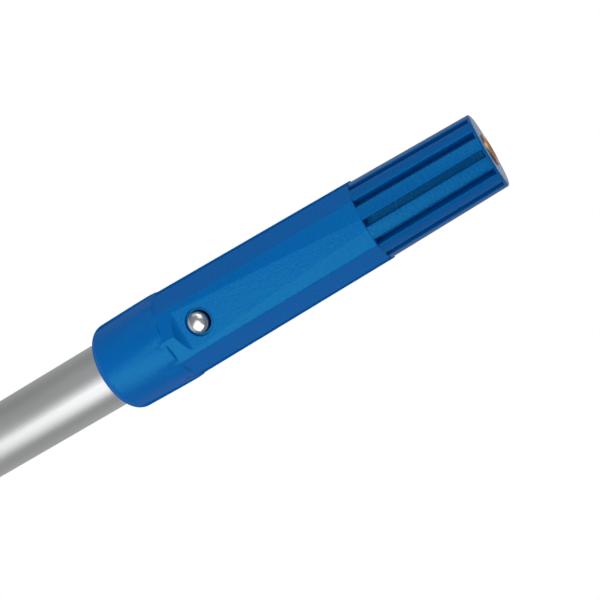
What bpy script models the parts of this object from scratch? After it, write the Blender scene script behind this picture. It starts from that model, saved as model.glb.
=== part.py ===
"""A two-section telescopic pole for window cleaning, standing on its butt with the tool cone up.

The pole's axis is Z, and the origin is the middle of the butt cap's flat end.  The snap button that
locks the tool cone faces -Y.  The pole is drawn pushed in, with the twist clamp done up.
"""

import math

import bmesh
import bpy
from mathutils import Matrix, Vector

# Clearances
SEAT_GAP = 0.0003  # between two pieces that touch
BUSH_GAP = 0.0002  # on each face of the thin guide bush
HAND_GAP = 0.0006  # left between the done-up nut and the flange below it

# Tubes
INNER_TUBE_DIAMETER = 0.022
INNER_TUBE_WALL = 0.0011
TUBE_SPACE = 0.001  # radial space between the inner and the outer tube
OUTER_TUBE_WALL = 0.001
OUTER_TUBE_LENGTH = 0.495
EXPOSED_LENGTH = 0.092  # bare inner tube between the clamp nut and the tool cone

# Butt cap and hand grip
CAP_FLANGE_HEIGHT = 0.005
CAP_EDGE_ROUND = 0.002
CAP_PLUG_DEPTH = 0.022
CAP_PLUG_WALL = 0.002
GRIP_WALL = 0.0025
GRIP_LENGTH = 0.182
GRIP_END_ROUND = 0.0012
GRIP_GROOVES = 8
GRIP_GROOVE_DEPTH = 0.0009
GRIP_GROOVE_WIDTH = 0.003

# Clamp body, riveted on the outer tube
SKIRT_WALL = 0.0019
SKIRT_LENGTH = 0.026
SKIRT_CHAMFER = 0.0006
CLAMP_FLANGE_HEIGHT = 0.003
CLAMP_FLANGE_REACH = 0.0024
TUBE_IN_CLAMP = 0.0386  # length of outer tube inside the clamp body
NECK_HEIGHT = 0.003
NECK_WALL = 0.003
MOUTH_DEPTH = 0.0107
MOUTH_RIM = 0.001
RIVET_HEIGHT = 0.014  # above the foot of the skirt
RIVET_DIAMETER = 0.003
RIVET_HEAD_DIAMETER = 0.0056
RIVET_HEAD_HEIGHT = 0.0011

# Clamp thread
THREAD_PITCH = 0.003
THREAD_HEIGHT = 0.001
THREAD_ROOT_WIDTH = 0.0014
THREAD_CREST_WIDTH = 0.0007
THREAD_BITE = 0.0003  # how deep a ridge is rooted in its wall
THREAD_START = 0.0045  # above the flange
BODY_THREAD_TURNS = 4
NUT_THREAD_TURNS = 2.5

# Collet, nut and wiper ring
COLLET_RIM_REACH = 0.0004
COLLET_RIM_HEIGHT = 0.0025
COLLET_SLOTS = 6
COLLET_SLOT_WIDTH = 0.0016
COLLET_SLOT_STOP = 0.0006  # from the slots' ends up to the rim
NUT_WALL = 0.0032
NUT_LOBES = 12
NUT_LOBE_DEPTH = 0.0009
NUT_EDGE = 0.0016
NUT_LIP_HEIGHT = 0.0014
NUT_LIP_SLACK = 0.0004
WIPER_WALL = 0.001
WIPER_HEIGHT = 0.003

# Guide bush in the mouth of the outer tube
BUSH_LENGTH = 0.03
BUSH_FLANGE_HEIGHT = 0.0008

# Guide plug and glide ring at the foot of the inner tube
PLUG_FLANGE_HEIGHT = 0.003
GLIDE_RING_HEIGHT = 0.0074
GLIDE_RING_WALL = 0.0015
GLIDE_RING_SPLIT = 0.002
SPIGOT_LENGTH = 0.02
SPIGOT_WALL = 0.0025
PIN_DIAMETER = 0.003
PIN_HEIGHT = 0.011  # above the foot of the inner tube

# Tool cone, measured up from the back of its collar
COLLAR_WALL = 0.0037  # at the collar's back
COLLAR_FLARE = 0.00022  # by which the collar grows up to its front end
COLLAR_LENGTH = 0.0252
COLLAR_ROUND = 0.0035
STEP_DROP = 0.0009  # of the steep wall from the collar down to the facets
STEP_LENGTH = 0.0005
ROOT_DEPTH = 0.004  # how far the collar and the facets run into each other
FACETS = 11
FACETED_END = 0.0966
FACET_SETBACK = 0.0002  # of the facets' sharp corners below the collar, before rounding
FACET_CORNER_ROUND = 0.0022
FLAT_WALL = 0.0016  # between the tube's socket and the flat round the button
FLAT_START = 0.0308
RIB_SETBACK = 0.00006  # of the ribs below the flat
SHOULDER_STEP = 0.00063
RIBBED_LENGTH = 0.0399
RIB_TAPER = 0.00104
TIP_RIM = 0.001
TIP_ROUND = 0.0008
GROOVES = 12
GROOVE_WIDTH = 0.0023
GROOVE_DEPTH = 0.0032
SOCKET_DEPTH = 0.061
CORE_WALL = 0.001  # between the groove floors at the tip and the hollow core
END_WALL = 0.006  # between the hollow core and the insert's seat

# Threaded insert in the tip
INSERT_DIAMETER = 0.0096
INSERT_LENGTH = 0.0205
INSERT_PROUD = 0.0006
INSERT_FLANGE = 0.003
INSERT_TEETH = 20
INSERT_TOOTH_DEPTH = 0.00025
INSERT_BORE_DIAMETER = 0.0068
INSERT_CHAMFER = 0.0006

# Snap button and its spring
BUTTON_PLACE = 0.0374  # from the back of the collar
BUTTON_DIAMETER = 0.0068
BUTTON_PROUD = 0.0019  # above the flat
BUTTON_DOME = 0.0016
BUTTON_HOLE_PLACE = 0.0377
BUTTON_HOLE_DIAMETER = 0.0088
BUTTON_FLANGE_REACH = 0.0012
TUBE_HOLE_CLEARANCE = 0.0007  # round the button, where it passes through the tube
BUTTON_FLANGE_HEIGHT = 0.0009
TAIL_DIAMETER = 0.0024
TAIL_HEAD_REACH = 0.0008
TAIL_HEAD_HEIGHT = 0.0008
SPRING_THICKNESS = 0.0006
SPRING_WIDTH = 0.008
SPRING_DROP = 0.0305  # from the button's middle to the lowest point of the bend
SPRING_TOP = 0.0055  # above the button's middle
SPRING_BEND = 0.0024
SPRING_STRAIGHT = 0.008
SPRING_BACK_END = 0.002

SIDES = 36
FINE_SIDES = 48
FEW_SIDES = 24
FRONT = -math.pi / 2  # the button's direction, as an angle from +X
REACH = 0.004  # how far a cutter runs past what it cuts

# Radii, outwards from the inner tube
inner_radius = INNER_TUBE_DIAMETER / 2
inner_bore = inner_radius - INNER_TUBE_WALL
outer_bore = inner_radius + TUBE_SPACE
outer_radius = outer_bore + OUTER_TUBE_WALL
guide_radius = outer_bore - SEAT_GAP
socket_radius = inner_radius + SEAT_GAP
sleeve_bore = outer_radius + SEAT_GAP
grip_radius = sleeve_bore + GRIP_WALL
skirt_radius = sleeve_bore + SKIRT_WALL
collar_back_radius = socket_radius + COLLAR_WALL
collar_radius = collar_back_radius + COLLAR_FLARE
flat_distance = socket_radius + FLAT_WALL
rib_start = flat_distance - RIB_SETBACK
rib_end = rib_start - RIB_TAPER
insert_radius = INSERT_DIAMETER / 2

# Heights of the outer section, up from the butt
cap_plug_top = CAP_FLANGE_HEIGHT + CAP_PLUG_DEPTH
outer_tube_foot = CAP_FLANGE_HEIGHT + SEAT_GAP
outer_tube_top = outer_tube_foot + OUTER_TUBE_LENGTH

# Heights of the clamp, up from the foot of its skirt
clamp_foot = outer_tube_top - TUBE_IN_CLAMP
flange_top = SKIRT_LENGTH + CLAMP_FLANGE_HEIGHT
bush_seat = TUBE_IN_CLAMP + SEAT_GAP
neck_foot = bush_seat + BUSH_FLANGE_HEIGHT + SEAT_GAP
mouth_foot = neck_foot + NECK_HEIGHT
body_top = mouth_foot + MOUTH_DEPTH
rim_foot = body_top + SEAT_GAP
rim_top = rim_foot + COLLET_RIM_HEIGHT
wiper_foot = rim_top + SEAT_GAP
wiper_top = wiper_foot + WIPER_HEIGHT
nut_foot = flange_top + HAND_GAP
nut_top = wiper_top + SEAT_GAP + NUT_LIP_HEIGHT

# Heights of the inner section, up from the foot of its guide plug
plug_foot = cap_plug_top + SEAT_GAP
ring_seat = PLUG_FLANGE_HEIGHT + SEAT_GAP
upper_flange = ring_seat + GLIDE_RING_HEIGHT + SEAT_GAP
spigot_foot = upper_flange + PLUG_FLANGE_HEIGHT
inner_tube_foot = spigot_foot + SEAT_GAP
cone_back = clamp_foot + nut_top + EXPOSED_LENGTH - plug_foot
inner_tube_top = cone_back + SOCKET_DEPTH - SEAT_GAP
button_height = cone_back + BUTTON_PLACE

# Distances of the button and its spring from the pole's axis
button_flange_radius = BUTTON_DIAMETER / 2 + BUTTON_FLANGE_REACH
button_flange_top = math.sqrt(inner_bore**2 - button_flange_radius**2) - SEAT_GAP
button_flange_foot = button_flange_top - BUTTON_FLANGE_HEIGHT
leaf_front = button_flange_foot - SEAT_GAP - SPRING_THICKNESS / 2
leaf_back = math.sqrt(inner_bore**2 - (SPRING_WIDTH / 2) ** 2) - SEAT_GAP - SPRING_THICKNESS / 2


def clear_scene():
    for item in list(bpy.data.objects):
        bpy.data.objects.remove(item)


def material(name, colour, roughness, metallic=0.0):
    made = bpy.data.materials.new(name)
    made.use_nodes = True
    shader = made.node_tree.nodes["Principled BSDF"]
    shader.inputs["Base Color"].default_value = (*colour, 1.0)
    shader.inputs["Roughness"].default_value = roughness
    shader.inputs["Metallic"].default_value = metallic
    return made


def empty(name, height, parent=None):
    """A frame on the pole's axis that pieces hang from."""
    made = bpy.data.objects.new(name, None)
    made.location = (0.0, 0.0, height)
    made.parent = parent
    bpy.context.scene.collection.objects.link(made)
    return made


def mesh_of(name, shape):
    bmesh.ops.remove_doubles(shape, verts=shape.verts, dist=1e-6)
    bmesh.ops.recalc_face_normals(shape, faces=shape.faces)
    mesh = bpy.data.meshes.new(name)
    shape.to_mesh(mesh)
    shape.free()
    return mesh


def ring(radius, height, sides=SIDES, shape=None):
    """Points round the axis, the first one on the button's side."""
    points = []
    for step in range(sides):
        angle = 2 * math.pi * step / sides
        reach = radius + (shape(step) if shape else 0.0)
        points.append(Vector((reach * math.cos(FRONT + angle), reach * math.sin(FRONT + angle), height)))
    return points


def skin(name, rings, hollow=False):
    """A closed body over rings of equally many points; a hollow one joins its last ring to its first."""
    shape = bmesh.new()
    loops = [[shape.verts.new(point) for point in points] for points in rings]
    pairs = list(zip(loops, loops[1:]))
    if hollow:
        pairs.append((loops[-1], loops[0]))
    else:
        shape.faces.new(loops[0])
        shape.faces.new(loops[-1])
    for lower, upper in pairs:
        for step in range(len(lower)):
            shape.faces.new((lower[step - 1], lower[step], upper[step], upper[step - 1]))
    return mesh_of(name, shape)


def turned(name, outline, sides=SIDES, hollow=False):
    """A turned body from (radius, height) points."""
    return skin(name, [ring(radius, height, sides) for radius, height in outline], hollow)


def boxes(name, corners):
    """Separate boxes in one mesh, each from four corners below and four above."""
    shape = bmesh.new()
    for eight in corners:
        below = [shape.verts.new(point) for point in eight[:4]]
        above = [shape.verts.new(point) for point in eight[4:]]
        shape.faces.new(below)
        shape.faces.new(above)
        for step in range(4):
            shape.faces.new((below[step - 1], below[step], above[step], above[step - 1]))
    return mesh_of(name, shape)


def thread_ridge(name, root, crest, start, turns):
    """A helical ridge from its root radius to its crest radius, which may lie inside or outside."""
    rings = []
    for step in range(int(turns * FEW_SIDES) + 1):
        angle = FRONT + 2 * math.pi * step / FEW_SIDES
        height = start + THREAD_PITCH * step / FEW_SIDES
        outline = (
            (root, height - THREAD_ROOT_WIDTH / 2),
            (crest, height - THREAD_CREST_WIDTH / 2),
            (crest, height + THREAD_CREST_WIDTH / 2),
            (root, height + THREAD_ROOT_WIDTH / 2),
        )
        rings.append([Vector((r * math.cos(angle), r * math.sin(angle), z)) for r, z in outline])
    return skin(name, rings)


def rounded(radius, height, size, start, steps=3):
    """Outline points of a quarter round about (radius, height), from the angle start."""
    points = []
    for step in range(steps + 1):
        angle = start + step * math.pi / 2 / steps
        points.append((radius + size * math.cos(angle), height + size * math.sin(angle)))
    return points


def piece(name, mesh, finish, parent, height=0.0):
    made = bpy.data.objects.new(name, mesh)
    if not mesh.materials:
        mesh.materials.append(finish)
    made.parent = parent
    made.location = (0.0, 0.0, height)
    made.data.shade_smooth()
    made.data.set_sharp_from_angle(angle=math.radians(32))
    bpy.context.scene.collection.objects.link(made)
    return made


def work(target, mesh, operation, height=0.0, turn=(0.0, 0.0, 0.0)):
    """Cuts a mesh out of a piece, or joins it on.  The tool itself stays out of the model."""
    tool = bpy.data.objects.new(mesh.name + "_tool", mesh)
    tool.hide_render = True
    tool.display_type = "WIRE"
    tool.parent = target
    tool.location = (0.0, 0.0, height)
    tool.rotation_euler = turn
    bpy.context.scene.collection.objects.link(tool)
    step = target.modifiers.new(mesh.name, "BOOLEAN")
    step.operation = operation
    step.solver = "EXACT"
    step.object = tool


def cross_hole(target, name, radius, height):
    """A hole for a pin, straight across the pole along X."""
    outline = ((radius, -collar_radius - REACH), (radius, collar_radius + REACH))
    work(target, turned(name, outline, FEW_SIDES), "DIFFERENCE", height, (0.0, math.pi / 2, 0.0))


def button_hole(target, name, radius, near, far, height):
    """A hole through the front wall only, along the button's axis."""
    hole = turned(name, ((radius, near), (radius, far)), SIDES)
    work(target, hole, "DIFFERENCE", height, (math.pi / 2, 0.0, 0.0))


def build_butt_cap(section, finish):
    outline = rounded(grip_radius - CAP_EDGE_ROUND, CAP_EDGE_ROUND, CAP_EDGE_ROUND, FRONT) + [
        (grip_radius, CAP_FLANGE_HEIGHT),
        (guide_radius, CAP_FLANGE_HEIGHT),
        (guide_radius, cap_plug_top),
        (guide_radius - CAP_PLUG_WALL, cap_plug_top),
        (guide_radius - CAP_PLUG_WALL, CAP_FLANGE_HEIGHT),
    ]
    piece("butt_cap", turned("butt_cap", outline), finish, section)


def build_outer_tube(section, finish):
    outline = (
        (outer_radius, 0.0),
        (outer_radius, OUTER_TUBE_LENGTH),
        (outer_bore, OUTER_TUBE_LENGTH),
        (outer_bore, 0.0),
    )
    tube = piece("outer_tube", turned("outer_tube", outline, hollow=True), finish, section, outer_tube_foot)
    rivet_place = OUTER_TUBE_LENGTH - TUBE_IN_CLAMP + RIVET_HEIGHT
    cross_hole(tube, "outer_tube_rivet_hole", RIVET_DIAMETER / 2 + SEAT_GAP, rivet_place)


def build_hand_grip(section, finish):
    floor = grip_radius - GRIP_GROOVE_DEPTH
    half = GRIP_GROOVE_WIDTH / 2
    outline = [(sleeve_bore, 0.0), (grip_radius - GRIP_END_ROUND, 0.0), (grip_radius, GRIP_END_ROUND)]
    for groove in range(1, GRIP_GROOVES + 1):
        middle = groove * GRIP_LENGTH / (GRIP_GROOVES + 1)
        outline += [
            (grip_radius, middle - half),
            (floor, middle - half / 3),
            (floor, middle + half / 3),
            (grip_radius, middle + half),
        ]
    outline += [
        (grip_radius, GRIP_LENGTH - GRIP_END_ROUND),
        (grip_radius - GRIP_END_ROUND, GRIP_LENGTH),
        (sleeve_bore, GRIP_LENGTH),
    ]
    mesh = turned("hand_grip", outline, FEW_SIDES, hollow=True)
    piece("hand_grip", mesh, finish, section, outer_tube_foot)


def mouth_radius(height):
    """Radius of the clamp body's tapered mouth at a height above the skirt's foot."""
    narrow = sleeve_bore + SKIRT_WALL - NECK_WALL
    wide = skirt_radius - MOUTH_RIM
    return narrow + (wide - narrow) * (height - mouth_foot) / MOUTH_DEPTH


def build_clamp_body(clamp, finish):
    flange_radius = skirt_radius + CLAMP_FLANGE_REACH
    outline = (
        (sleeve_bore, 0.0),
        (skirt_radius - SKIRT_CHAMFER, 0.0),
        (skirt_radius, SKIRT_CHAMFER),
        (skirt_radius, SKIRT_LENGTH),
        (flange_radius, SKIRT_LENGTH),
        (flange_radius, flange_top),
        (skirt_radius, flange_top),
        (skirt_radius, body_top),
        (mouth_radius(body_top), body_top),
        (mouth_radius(mouth_foot), mouth_foot),
        (mouth_radius(mouth_foot), neck_foot),
        (sleeve_bore, neck_foot),
    )
    body = piece("clamp_body", turned("clamp_body", outline, hollow=True), finish, clamp)
    ridge = thread_ridge(
        "clamp_body_thread",
        skirt_radius - THREAD_BITE,
        skirt_radius + THREAD_HEIGHT,
        flange_top + THREAD_START,
        BODY_THREAD_TURNS,
    )
    work(body, ridge, "UNION")
    cross_hole(body, "clamp_body_rivet_hole", RIVET_DIAMETER / 2 + SEAT_GAP, RIVET_HEIGHT)


def build_clamp_rivets(clamp, finish):
    shank = RIVET_DIAMETER / 2
    head = RIVET_HEAD_DIAMETER / 2
    head_foot = skirt_radius + SEAT_GAP
    outline = (
        (shank, outer_bore + SEAT_GAP / 2),
        (shank, head_foot),
        (head, head_foot),
        (head * 0.94, head_foot + RIVET_HEAD_HEIGHT * 0.45),
        (head * 0.7, head_foot + RIVET_HEAD_HEIGHT * 0.84),
        (head * 0.3, head_foot + RIVET_HEAD_HEIGHT),
    )
    rivet = turned("clamp_rivet", outline, FEW_SIDES)
    for name, turn in (("clamp_rivet_right", math.pi / 2), ("clamp_rivet_left", -math.pi / 2)):
        made = piece(name, rivet, finish, clamp, RIVET_HEIGHT)
        made.rotation_euler = (0.0, turn, 0.0)


def build_guide_bush(clamp, finish):
    bore = inner_radius + BUSH_GAP
    wall = outer_bore - BUSH_GAP
    outline = (
        (bore, bush_seat - BUSH_LENGTH),
        (wall, bush_seat - BUSH_LENGTH),
        (wall, bush_seat),
        (outer_radius, bush_seat),
        (outer_radius, bush_seat + BUSH_FLANGE_HEIGHT),
        (bore, bush_seat + BUSH_FLANGE_HEIGHT),
    )
    piece("guide_bush", turned("guide_bush", outline, hollow=True), finish, clamp)


def build_collet(clamp, finish):
    foot = mouth_foot + SEAT_GAP
    rim = mouth_radius(body_top) - SEAT_GAP + COLLET_RIM_REACH
    outline = (
        (socket_radius, foot),
        (mouth_radius(foot) - SEAT_GAP, foot),
        (mouth_radius(body_top) - SEAT_GAP, body_top),
        (mouth_radius(body_top) - SEAT_GAP, rim_foot),
        (rim, rim_foot),
        (rim, rim_top),
        (socket_radius, rim_top),
    )
    collet = piece("collet", turned("collet", outline, hollow=True), finish, clamp)
    half = COLLET_SLOT_WIDTH / 2
    slot_top = rim_foot - COLLET_SLOT_STOP
    slots = []
    for slot in range(COLLET_SLOTS):
        turn = Matrix.Rotation(2 * math.pi * slot / COLLET_SLOTS, 4, "Z")
        near = socket_radius - REACH / 2
        far = rim + REACH
        flat = [(near, -half), (far, -half), (far, half), (near, half)]
        below = [turn @ Vector((x, y, foot - REACH)) for x, y in flat]
        above = [turn @ Vector((x, y, slot_top)) for x, y in flat]
        slots.append(below + above)
    work(collet, boxes("collet_slots", slots), "DIFFERENCE")


def build_clamp_nut(clamp, finish):
    bore = skirt_radius + THREAD_HEIGHT + SEAT_GAP
    outside = bore + NUT_WALL
    pocket = mouth_radius(body_top) + COLLET_RIM_REACH
    wiper_pocket = socket_radius + WIPER_WALL + SEAT_GAP
    lip = socket_radius + NUT_LIP_SLACK

    def lobes(step):
        return NUT_LOBE_DEPTH * math.cos(NUT_LOBES * 2 * math.pi * step / FINE_SIDES)

    outline = (
        (bore, nut_foot, None),
        (outside - NUT_EDGE / 2, nut_foot, None),
        (outside, nut_foot + NUT_EDGE, lobes),
        (outside, nut_top - 2 * NUT_EDGE, lobes),
        (outside - NUT_EDGE, nut_top - NUT_EDGE / 2, None),
        (outside - 2 * NUT_EDGE, nut_top, None),
        (lip, nut_top, None),
        (lip, nut_top - NUT_LIP_HEIGHT, None),
        (wiper_pocket, nut_top - NUT_LIP_HEIGHT, None),
        (wiper_pocket, wiper_foot, None),
        (pocket, wiper_foot, None),
        (pocket, rim_foot, None),
        (bore, rim_foot, None),
    )
    rings = [ring(radius, height, FINE_SIDES, shape) for radius, height, shape in outline]
    nut = piece("clamp_nut", skin("clamp_nut", rings, hollow=True), finish, clamp)
    ridge = thread_ridge(
        "clamp_nut_thread",
        bore + THREAD_BITE,
        bore - THREAD_HEIGHT,
        flange_top + THREAD_START + 1.5 * THREAD_PITCH,
        NUT_THREAD_TURNS,
    )
    work(nut, ridge, "UNION")


def build_wiper_ring(clamp, finish):
    outline = (
        (socket_radius, wiper_foot),
        (socket_radius + WIPER_WALL, wiper_foot),
        (socket_radius + WIPER_WALL, wiper_top),
        (socket_radius, wiper_top),
    )
    piece("wiper_ring", turned("wiper_ring", outline, hollow=True), finish, clamp)


def build_guide_plug(section, finish):
    ring_bore = outer_bore - BUSH_GAP - GLIDE_RING_WALL
    spigot = inner_bore - SEAT_GAP
    bore = spigot - SPIGOT_WALL
    outline = (
        (bore, 0.0),
        (guide_radius, 0.0),
        (guide_radius, PLUG_FLANGE_HEIGHT),
        (ring_bore - SEAT_GAP, PLUG_FLANGE_HEIGHT),
        (ring_bore - SEAT_GAP, upper_flange),
        (guide_radius, upper_flange),
        (guide_radius, spigot_foot),
        (spigot, spigot_foot),
        (spigot, spigot_foot + SPIGOT_LENGTH),
        (bore, spigot_foot + SPIGOT_LENGTH),
    )
    plug = piece("guide_plug", turned("guide_plug", outline, hollow=True), finish, section)
    cross_hole(plug, "guide_plug_pin_hole", PIN_DIAMETER / 2 + SEAT_GAP, inner_tube_foot + PIN_HEIGHT)


def build_glide_ring(section, finish):
    wall = outer_bore - BUSH_GAP
    bore = wall - GLIDE_RING_WALL
    outline = ((bore, 0.0), (wall, 0.0), (wall, GLIDE_RING_HEIGHT), (bore, GLIDE_RING_HEIGHT))
    made = piece("glide_ring", turned("glide_ring", outline, hollow=True), finish, section, ring_seat)
    half = GLIDE_RING_SPLIT / 2
    flat = [(-half, bore - REACH), (half, bore - REACH), (half, wall + REACH), (-half, wall + REACH)]
    below = [Vector((x, y, -REACH)) for x, y in flat]
    above = [Vector((x, y, GLIDE_RING_HEIGHT + REACH)) for x, y in flat]
    work(made, boxes("glide_ring_split", [below + above]), "DIFFERENCE")


def build_plug_pin(section, finish):
    reach = inner_radius - SEAT_GAP
    outline = ((PIN_DIAMETER / 2, -reach), (PIN_DIAMETER / 2, reach))
    pin = piece("plug_pin", turned("plug_pin", outline, FEW_SIDES), finish, section, inner_tube_foot + PIN_HEIGHT)
    pin.rotation_euler = (0.0, math.pi / 2, 0.0)


def build_inner_tube(section, finish):
    length = inner_tube_top - inner_tube_foot
    outline = ((inner_radius, 0.0), (inner_radius, length), (inner_bore, length), (inner_bore, 0.0))
    tube = piece("inner_tube", turned("inner_tube", outline, hollow=True), finish, section, inner_tube_foot)
    cross_hole(tube, "inner_tube_pin_hole", PIN_DIAMETER / 2 + SEAT_GAP, PIN_HEIGHT)
    button_hole(
        tube,
        "inner_tube_button_hole",
        BUTTON_DIAMETER / 2 + TUBE_HOLE_CLEARANCE,
        inner_bore / 2,
        inner_radius + REACH,
        button_height - inner_tube_foot,
    )


def rib_radius(height):
    """Radius of the ribbed taper at a height above the collar's back."""
    return rib_start - RIB_TAPER * (height - FACETED_END) / RIBBED_LENGTH


def rib_section(radius, height, floor):
    """One ring round the ribbed taper, with parallel-sided grooves down to the floor radius."""
    period = 2 * math.pi / GROOVES
    corner = math.asin(GROOVE_WIDTH / 2 / radius)
    foot = math.asin(GROOVE_WIDTH / 2 / floor)
    crown = (period - 2 * corner) / 3
    points = []
    for groove in range(GROOVES):
        middle = FRONT + groove * period
        spots = (
            (radius, -corner),
            (floor, -foot),
            (floor, foot),
            (radius, corner),
            (radius, corner + crown),
            (radius, corner + 2 * crown),
        )
        for reach, angle in spots:
            points.append(
                Vector((reach * math.cos(middle + angle), reach * math.sin(middle + angle), height))
            )
    return points


def facet_section(radius, height):
    """One ring round the facets: a polygon with its corners at the radius, each rounded off."""
    half_turn = math.pi / FACETS
    centre = radius - FACET_CORNER_ROUND / math.cos(half_turn)
    points = []
    for corner in range(FACETS):
        middle = FRONT + 2 * corner * half_turn
        for turn in (-half_turn, 0.0, half_turn):
            x = centre * math.cos(middle) + FACET_CORNER_ROUND * math.cos(middle + turn)
            y = centre * math.sin(middle) + FACET_CORNER_ROUND * math.sin(middle + turn)
            points.append(Vector((x, y, height)))
    return points


def build_tool_cone(section, finish):
    tip = FACETED_END + RIBBED_LENGTH
    facet_start = collar_radius - FACET_SETBACK
    facet_end = rib_start + SHOULDER_STEP
    step_top = COLLAR_LENGTH + STEP_LENGTH
    collar_outline = rounded(
        collar_back_radius - COLLAR_ROUND, COLLAR_ROUND, COLLAR_ROUND, FRONT, 5
    ) + [
        (collar_radius, COLLAR_LENGTH),
        (collar_radius - STEP_DROP, step_top),
        (socket_radius, step_top + ROOT_DEPTH),
    ]
    collar = turned("tool_cone", collar_outline, FINE_SIDES)
    cone = piece("tool_cone", collar, finish, section, cone_back)

    facets = [
        facet_section(facet_start - STEP_DROP, COLLAR_LENGTH - ROOT_DEPTH),
        facet_section(facet_start, step_top),
        facet_section(facet_end, FACETED_END),
    ]
    work(cone, skin("tool_cone_facets", facets), "UNION")

    groove_top = tip - TIP_RIM
    low = FACETED_END - TIP_RIM
    ribs = [
        rib_section(rib_radius(low), low, rib_radius(low) - GROOVE_DEPTH),
        rib_section(rib_radius(groove_top), groove_top, rib_radius(groove_top) - GROOVE_DEPTH),
    ]
    for radius, height in [(rib_radius(groove_top), groove_top)] + rounded(
        rib_end - TIP_ROUND, tip - TIP_ROUND, TIP_ROUND, 0.0
    ):
        ribs.append(rib_section(radius, height, radius))
    work(cone, skin("tool_cone_ribs", ribs), "UNION")

    top = flat_distance + REACH
    side = collar_radius
    end = FACETED_END + REACH
    flat = [(-side, -flat_distance), (side, -flat_distance), (side, -top), (-side, -top)]
    starts = (FLAT_START, FLAT_START, FLAT_START - REACH, FLAT_START - REACH)
    below = [Vector((x, y, z)) for (x, y), z in zip(flat, starts)]
    above = [Vector((x, y, end)) for x, y in flat]
    work(cone, boxes("tool_cone_flat", [below + above]), "DIFFERENCE")

    pocket = insert_radius + SEAT_GAP
    pocket_foot = tip + INSERT_PROUD - INSERT_LENGTH - SEAT_GAP
    core = rib_end - GROOVE_DEPTH - CORE_WALL
    bore = (
        (socket_radius, -REACH),
        (socket_radius, SOCKET_DEPTH),
        (core, SOCKET_DEPTH),
        (core, pocket_foot - END_WALL),
    )
    work(cone, turned("tool_cone_bore", bore), "DIFFERENCE")
    seat = ((pocket, pocket_foot), (pocket, tip + REACH))
    work(cone, turned("tool_cone_insert_seat", seat), "DIFFERENCE")
    button_hole(
        cone,
        "tool_cone_button_hole",
        BUTTON_HOLE_DIAMETER / 2,
        socket_radius / 2,
        collar_radius + REACH,
        BUTTON_HOLE_PLACE,
    )


def build_thread_insert(section, finish):
    bore = INSERT_BORE_DIAMETER / 2
    sides = 2 * INSERT_TEETH
    knurled = INSERT_LENGTH - INSERT_FLANGE

    def teeth(step):
        return -INSERT_TOOTH_DEPTH * (step % 2)

    rings = [
        ring(bore, 0.0, sides),
        ring(insert_radius, 0.0, sides, teeth),
        ring(insert_radius, knurled, sides, teeth),
        ring(insert_radius, knurled, sides),
        ring(insert_radius, INSERT_LENGTH - INSERT_CHAMFER / 2, sides),
        ring(insert_radius - INSERT_CHAMFER / 2, INSERT_LENGTH, sides),
        ring(bore + INSERT_CHAMFER, INSERT_LENGTH, sides),
        ring(bore, INSERT_LENGTH - INSERT_CHAMFER, sides),
    ]
    foot = cone_back + FACETED_END + RIBBED_LENGTH + INSERT_PROUD - INSERT_LENGTH
    piece("thread_insert", skin("thread_insert", rings, hollow=True), finish, section, foot)


def build_lock_button(axis, finish):
    tail = TAIL_DIAMETER / 2
    tail_head = tail + TAIL_HEAD_REACH
    head_top = leaf_front - SPRING_THICKNESS / 2 - SEAT_GAP
    radius = BUTTON_DIAMETER / 2
    dome_top = flat_distance + BUTTON_PROUD
    ball = (radius**2 + BUTTON_DOME**2) / (2 * BUTTON_DOME)
    half_angle = math.asin(radius / ball)
    outline = [
        (tail_head, head_top - TAIL_HEAD_HEIGHT),
        (tail_head, head_top),
        (tail, head_top),
        (tail, button_flange_foot),
        (button_flange_radius, button_flange_foot),
        (button_flange_radius, button_flange_top),
        (radius, button_flange_top),
    ]
    for share in (1.0, 0.8, 0.6, 0.4, 0.15):
        angle = half_angle * share
        outline.append((ball * math.sin(angle), dome_top - ball * (1 - math.cos(angle))))
    piece("lock_button", turned("lock_button", outline, FEW_SIDES), finish, axis)


def build_button_spring(section, finish):
    bend_middle = SPRING_BEND - SPRING_DROP
    path = [(-leaf_front, SPRING_TOP), (-leaf_front, -SPRING_STRAIGHT)]
    for step in range(7):
        angle = math.pi + step * math.pi / 6
        path.append((SPRING_BEND * math.cos(angle), bend_middle + SPRING_BEND * math.sin(angle)))
    path += [(leaf_back, -SPRING_STRAIGHT), (leaf_back, -SPRING_BACK_END)]
    path = [Vector(point) for point in path]

    rings = []
    for spot, point in enumerate(path):
        before = path[max(spot - 1, 0)]
        after = path[min(spot + 1, len(path) - 1)]
        along = (after - before).normalized()
        across = Vector((-along.y, along.x)) * SPRING_THICKNESS / 2
        outline = []
        for side, face in ((-1, -1), (1, -1), (1, 1), (-1, 1)):
            place = point + face * across
            outline.append(Vector((side * SPRING_WIDTH / 2, place.x, place.y)))
        rings.append(outline)
    spring = piece("button_spring", skin("button_spring", rings), finish, section, button_height)
    button_hole(
        spring,
        "button_spring_hole",
        TAIL_DIAMETER / 2 + SEAT_GAP,
        leaf_front - REACH,
        leaf_front + REACH,
        0.0,
    )


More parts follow.
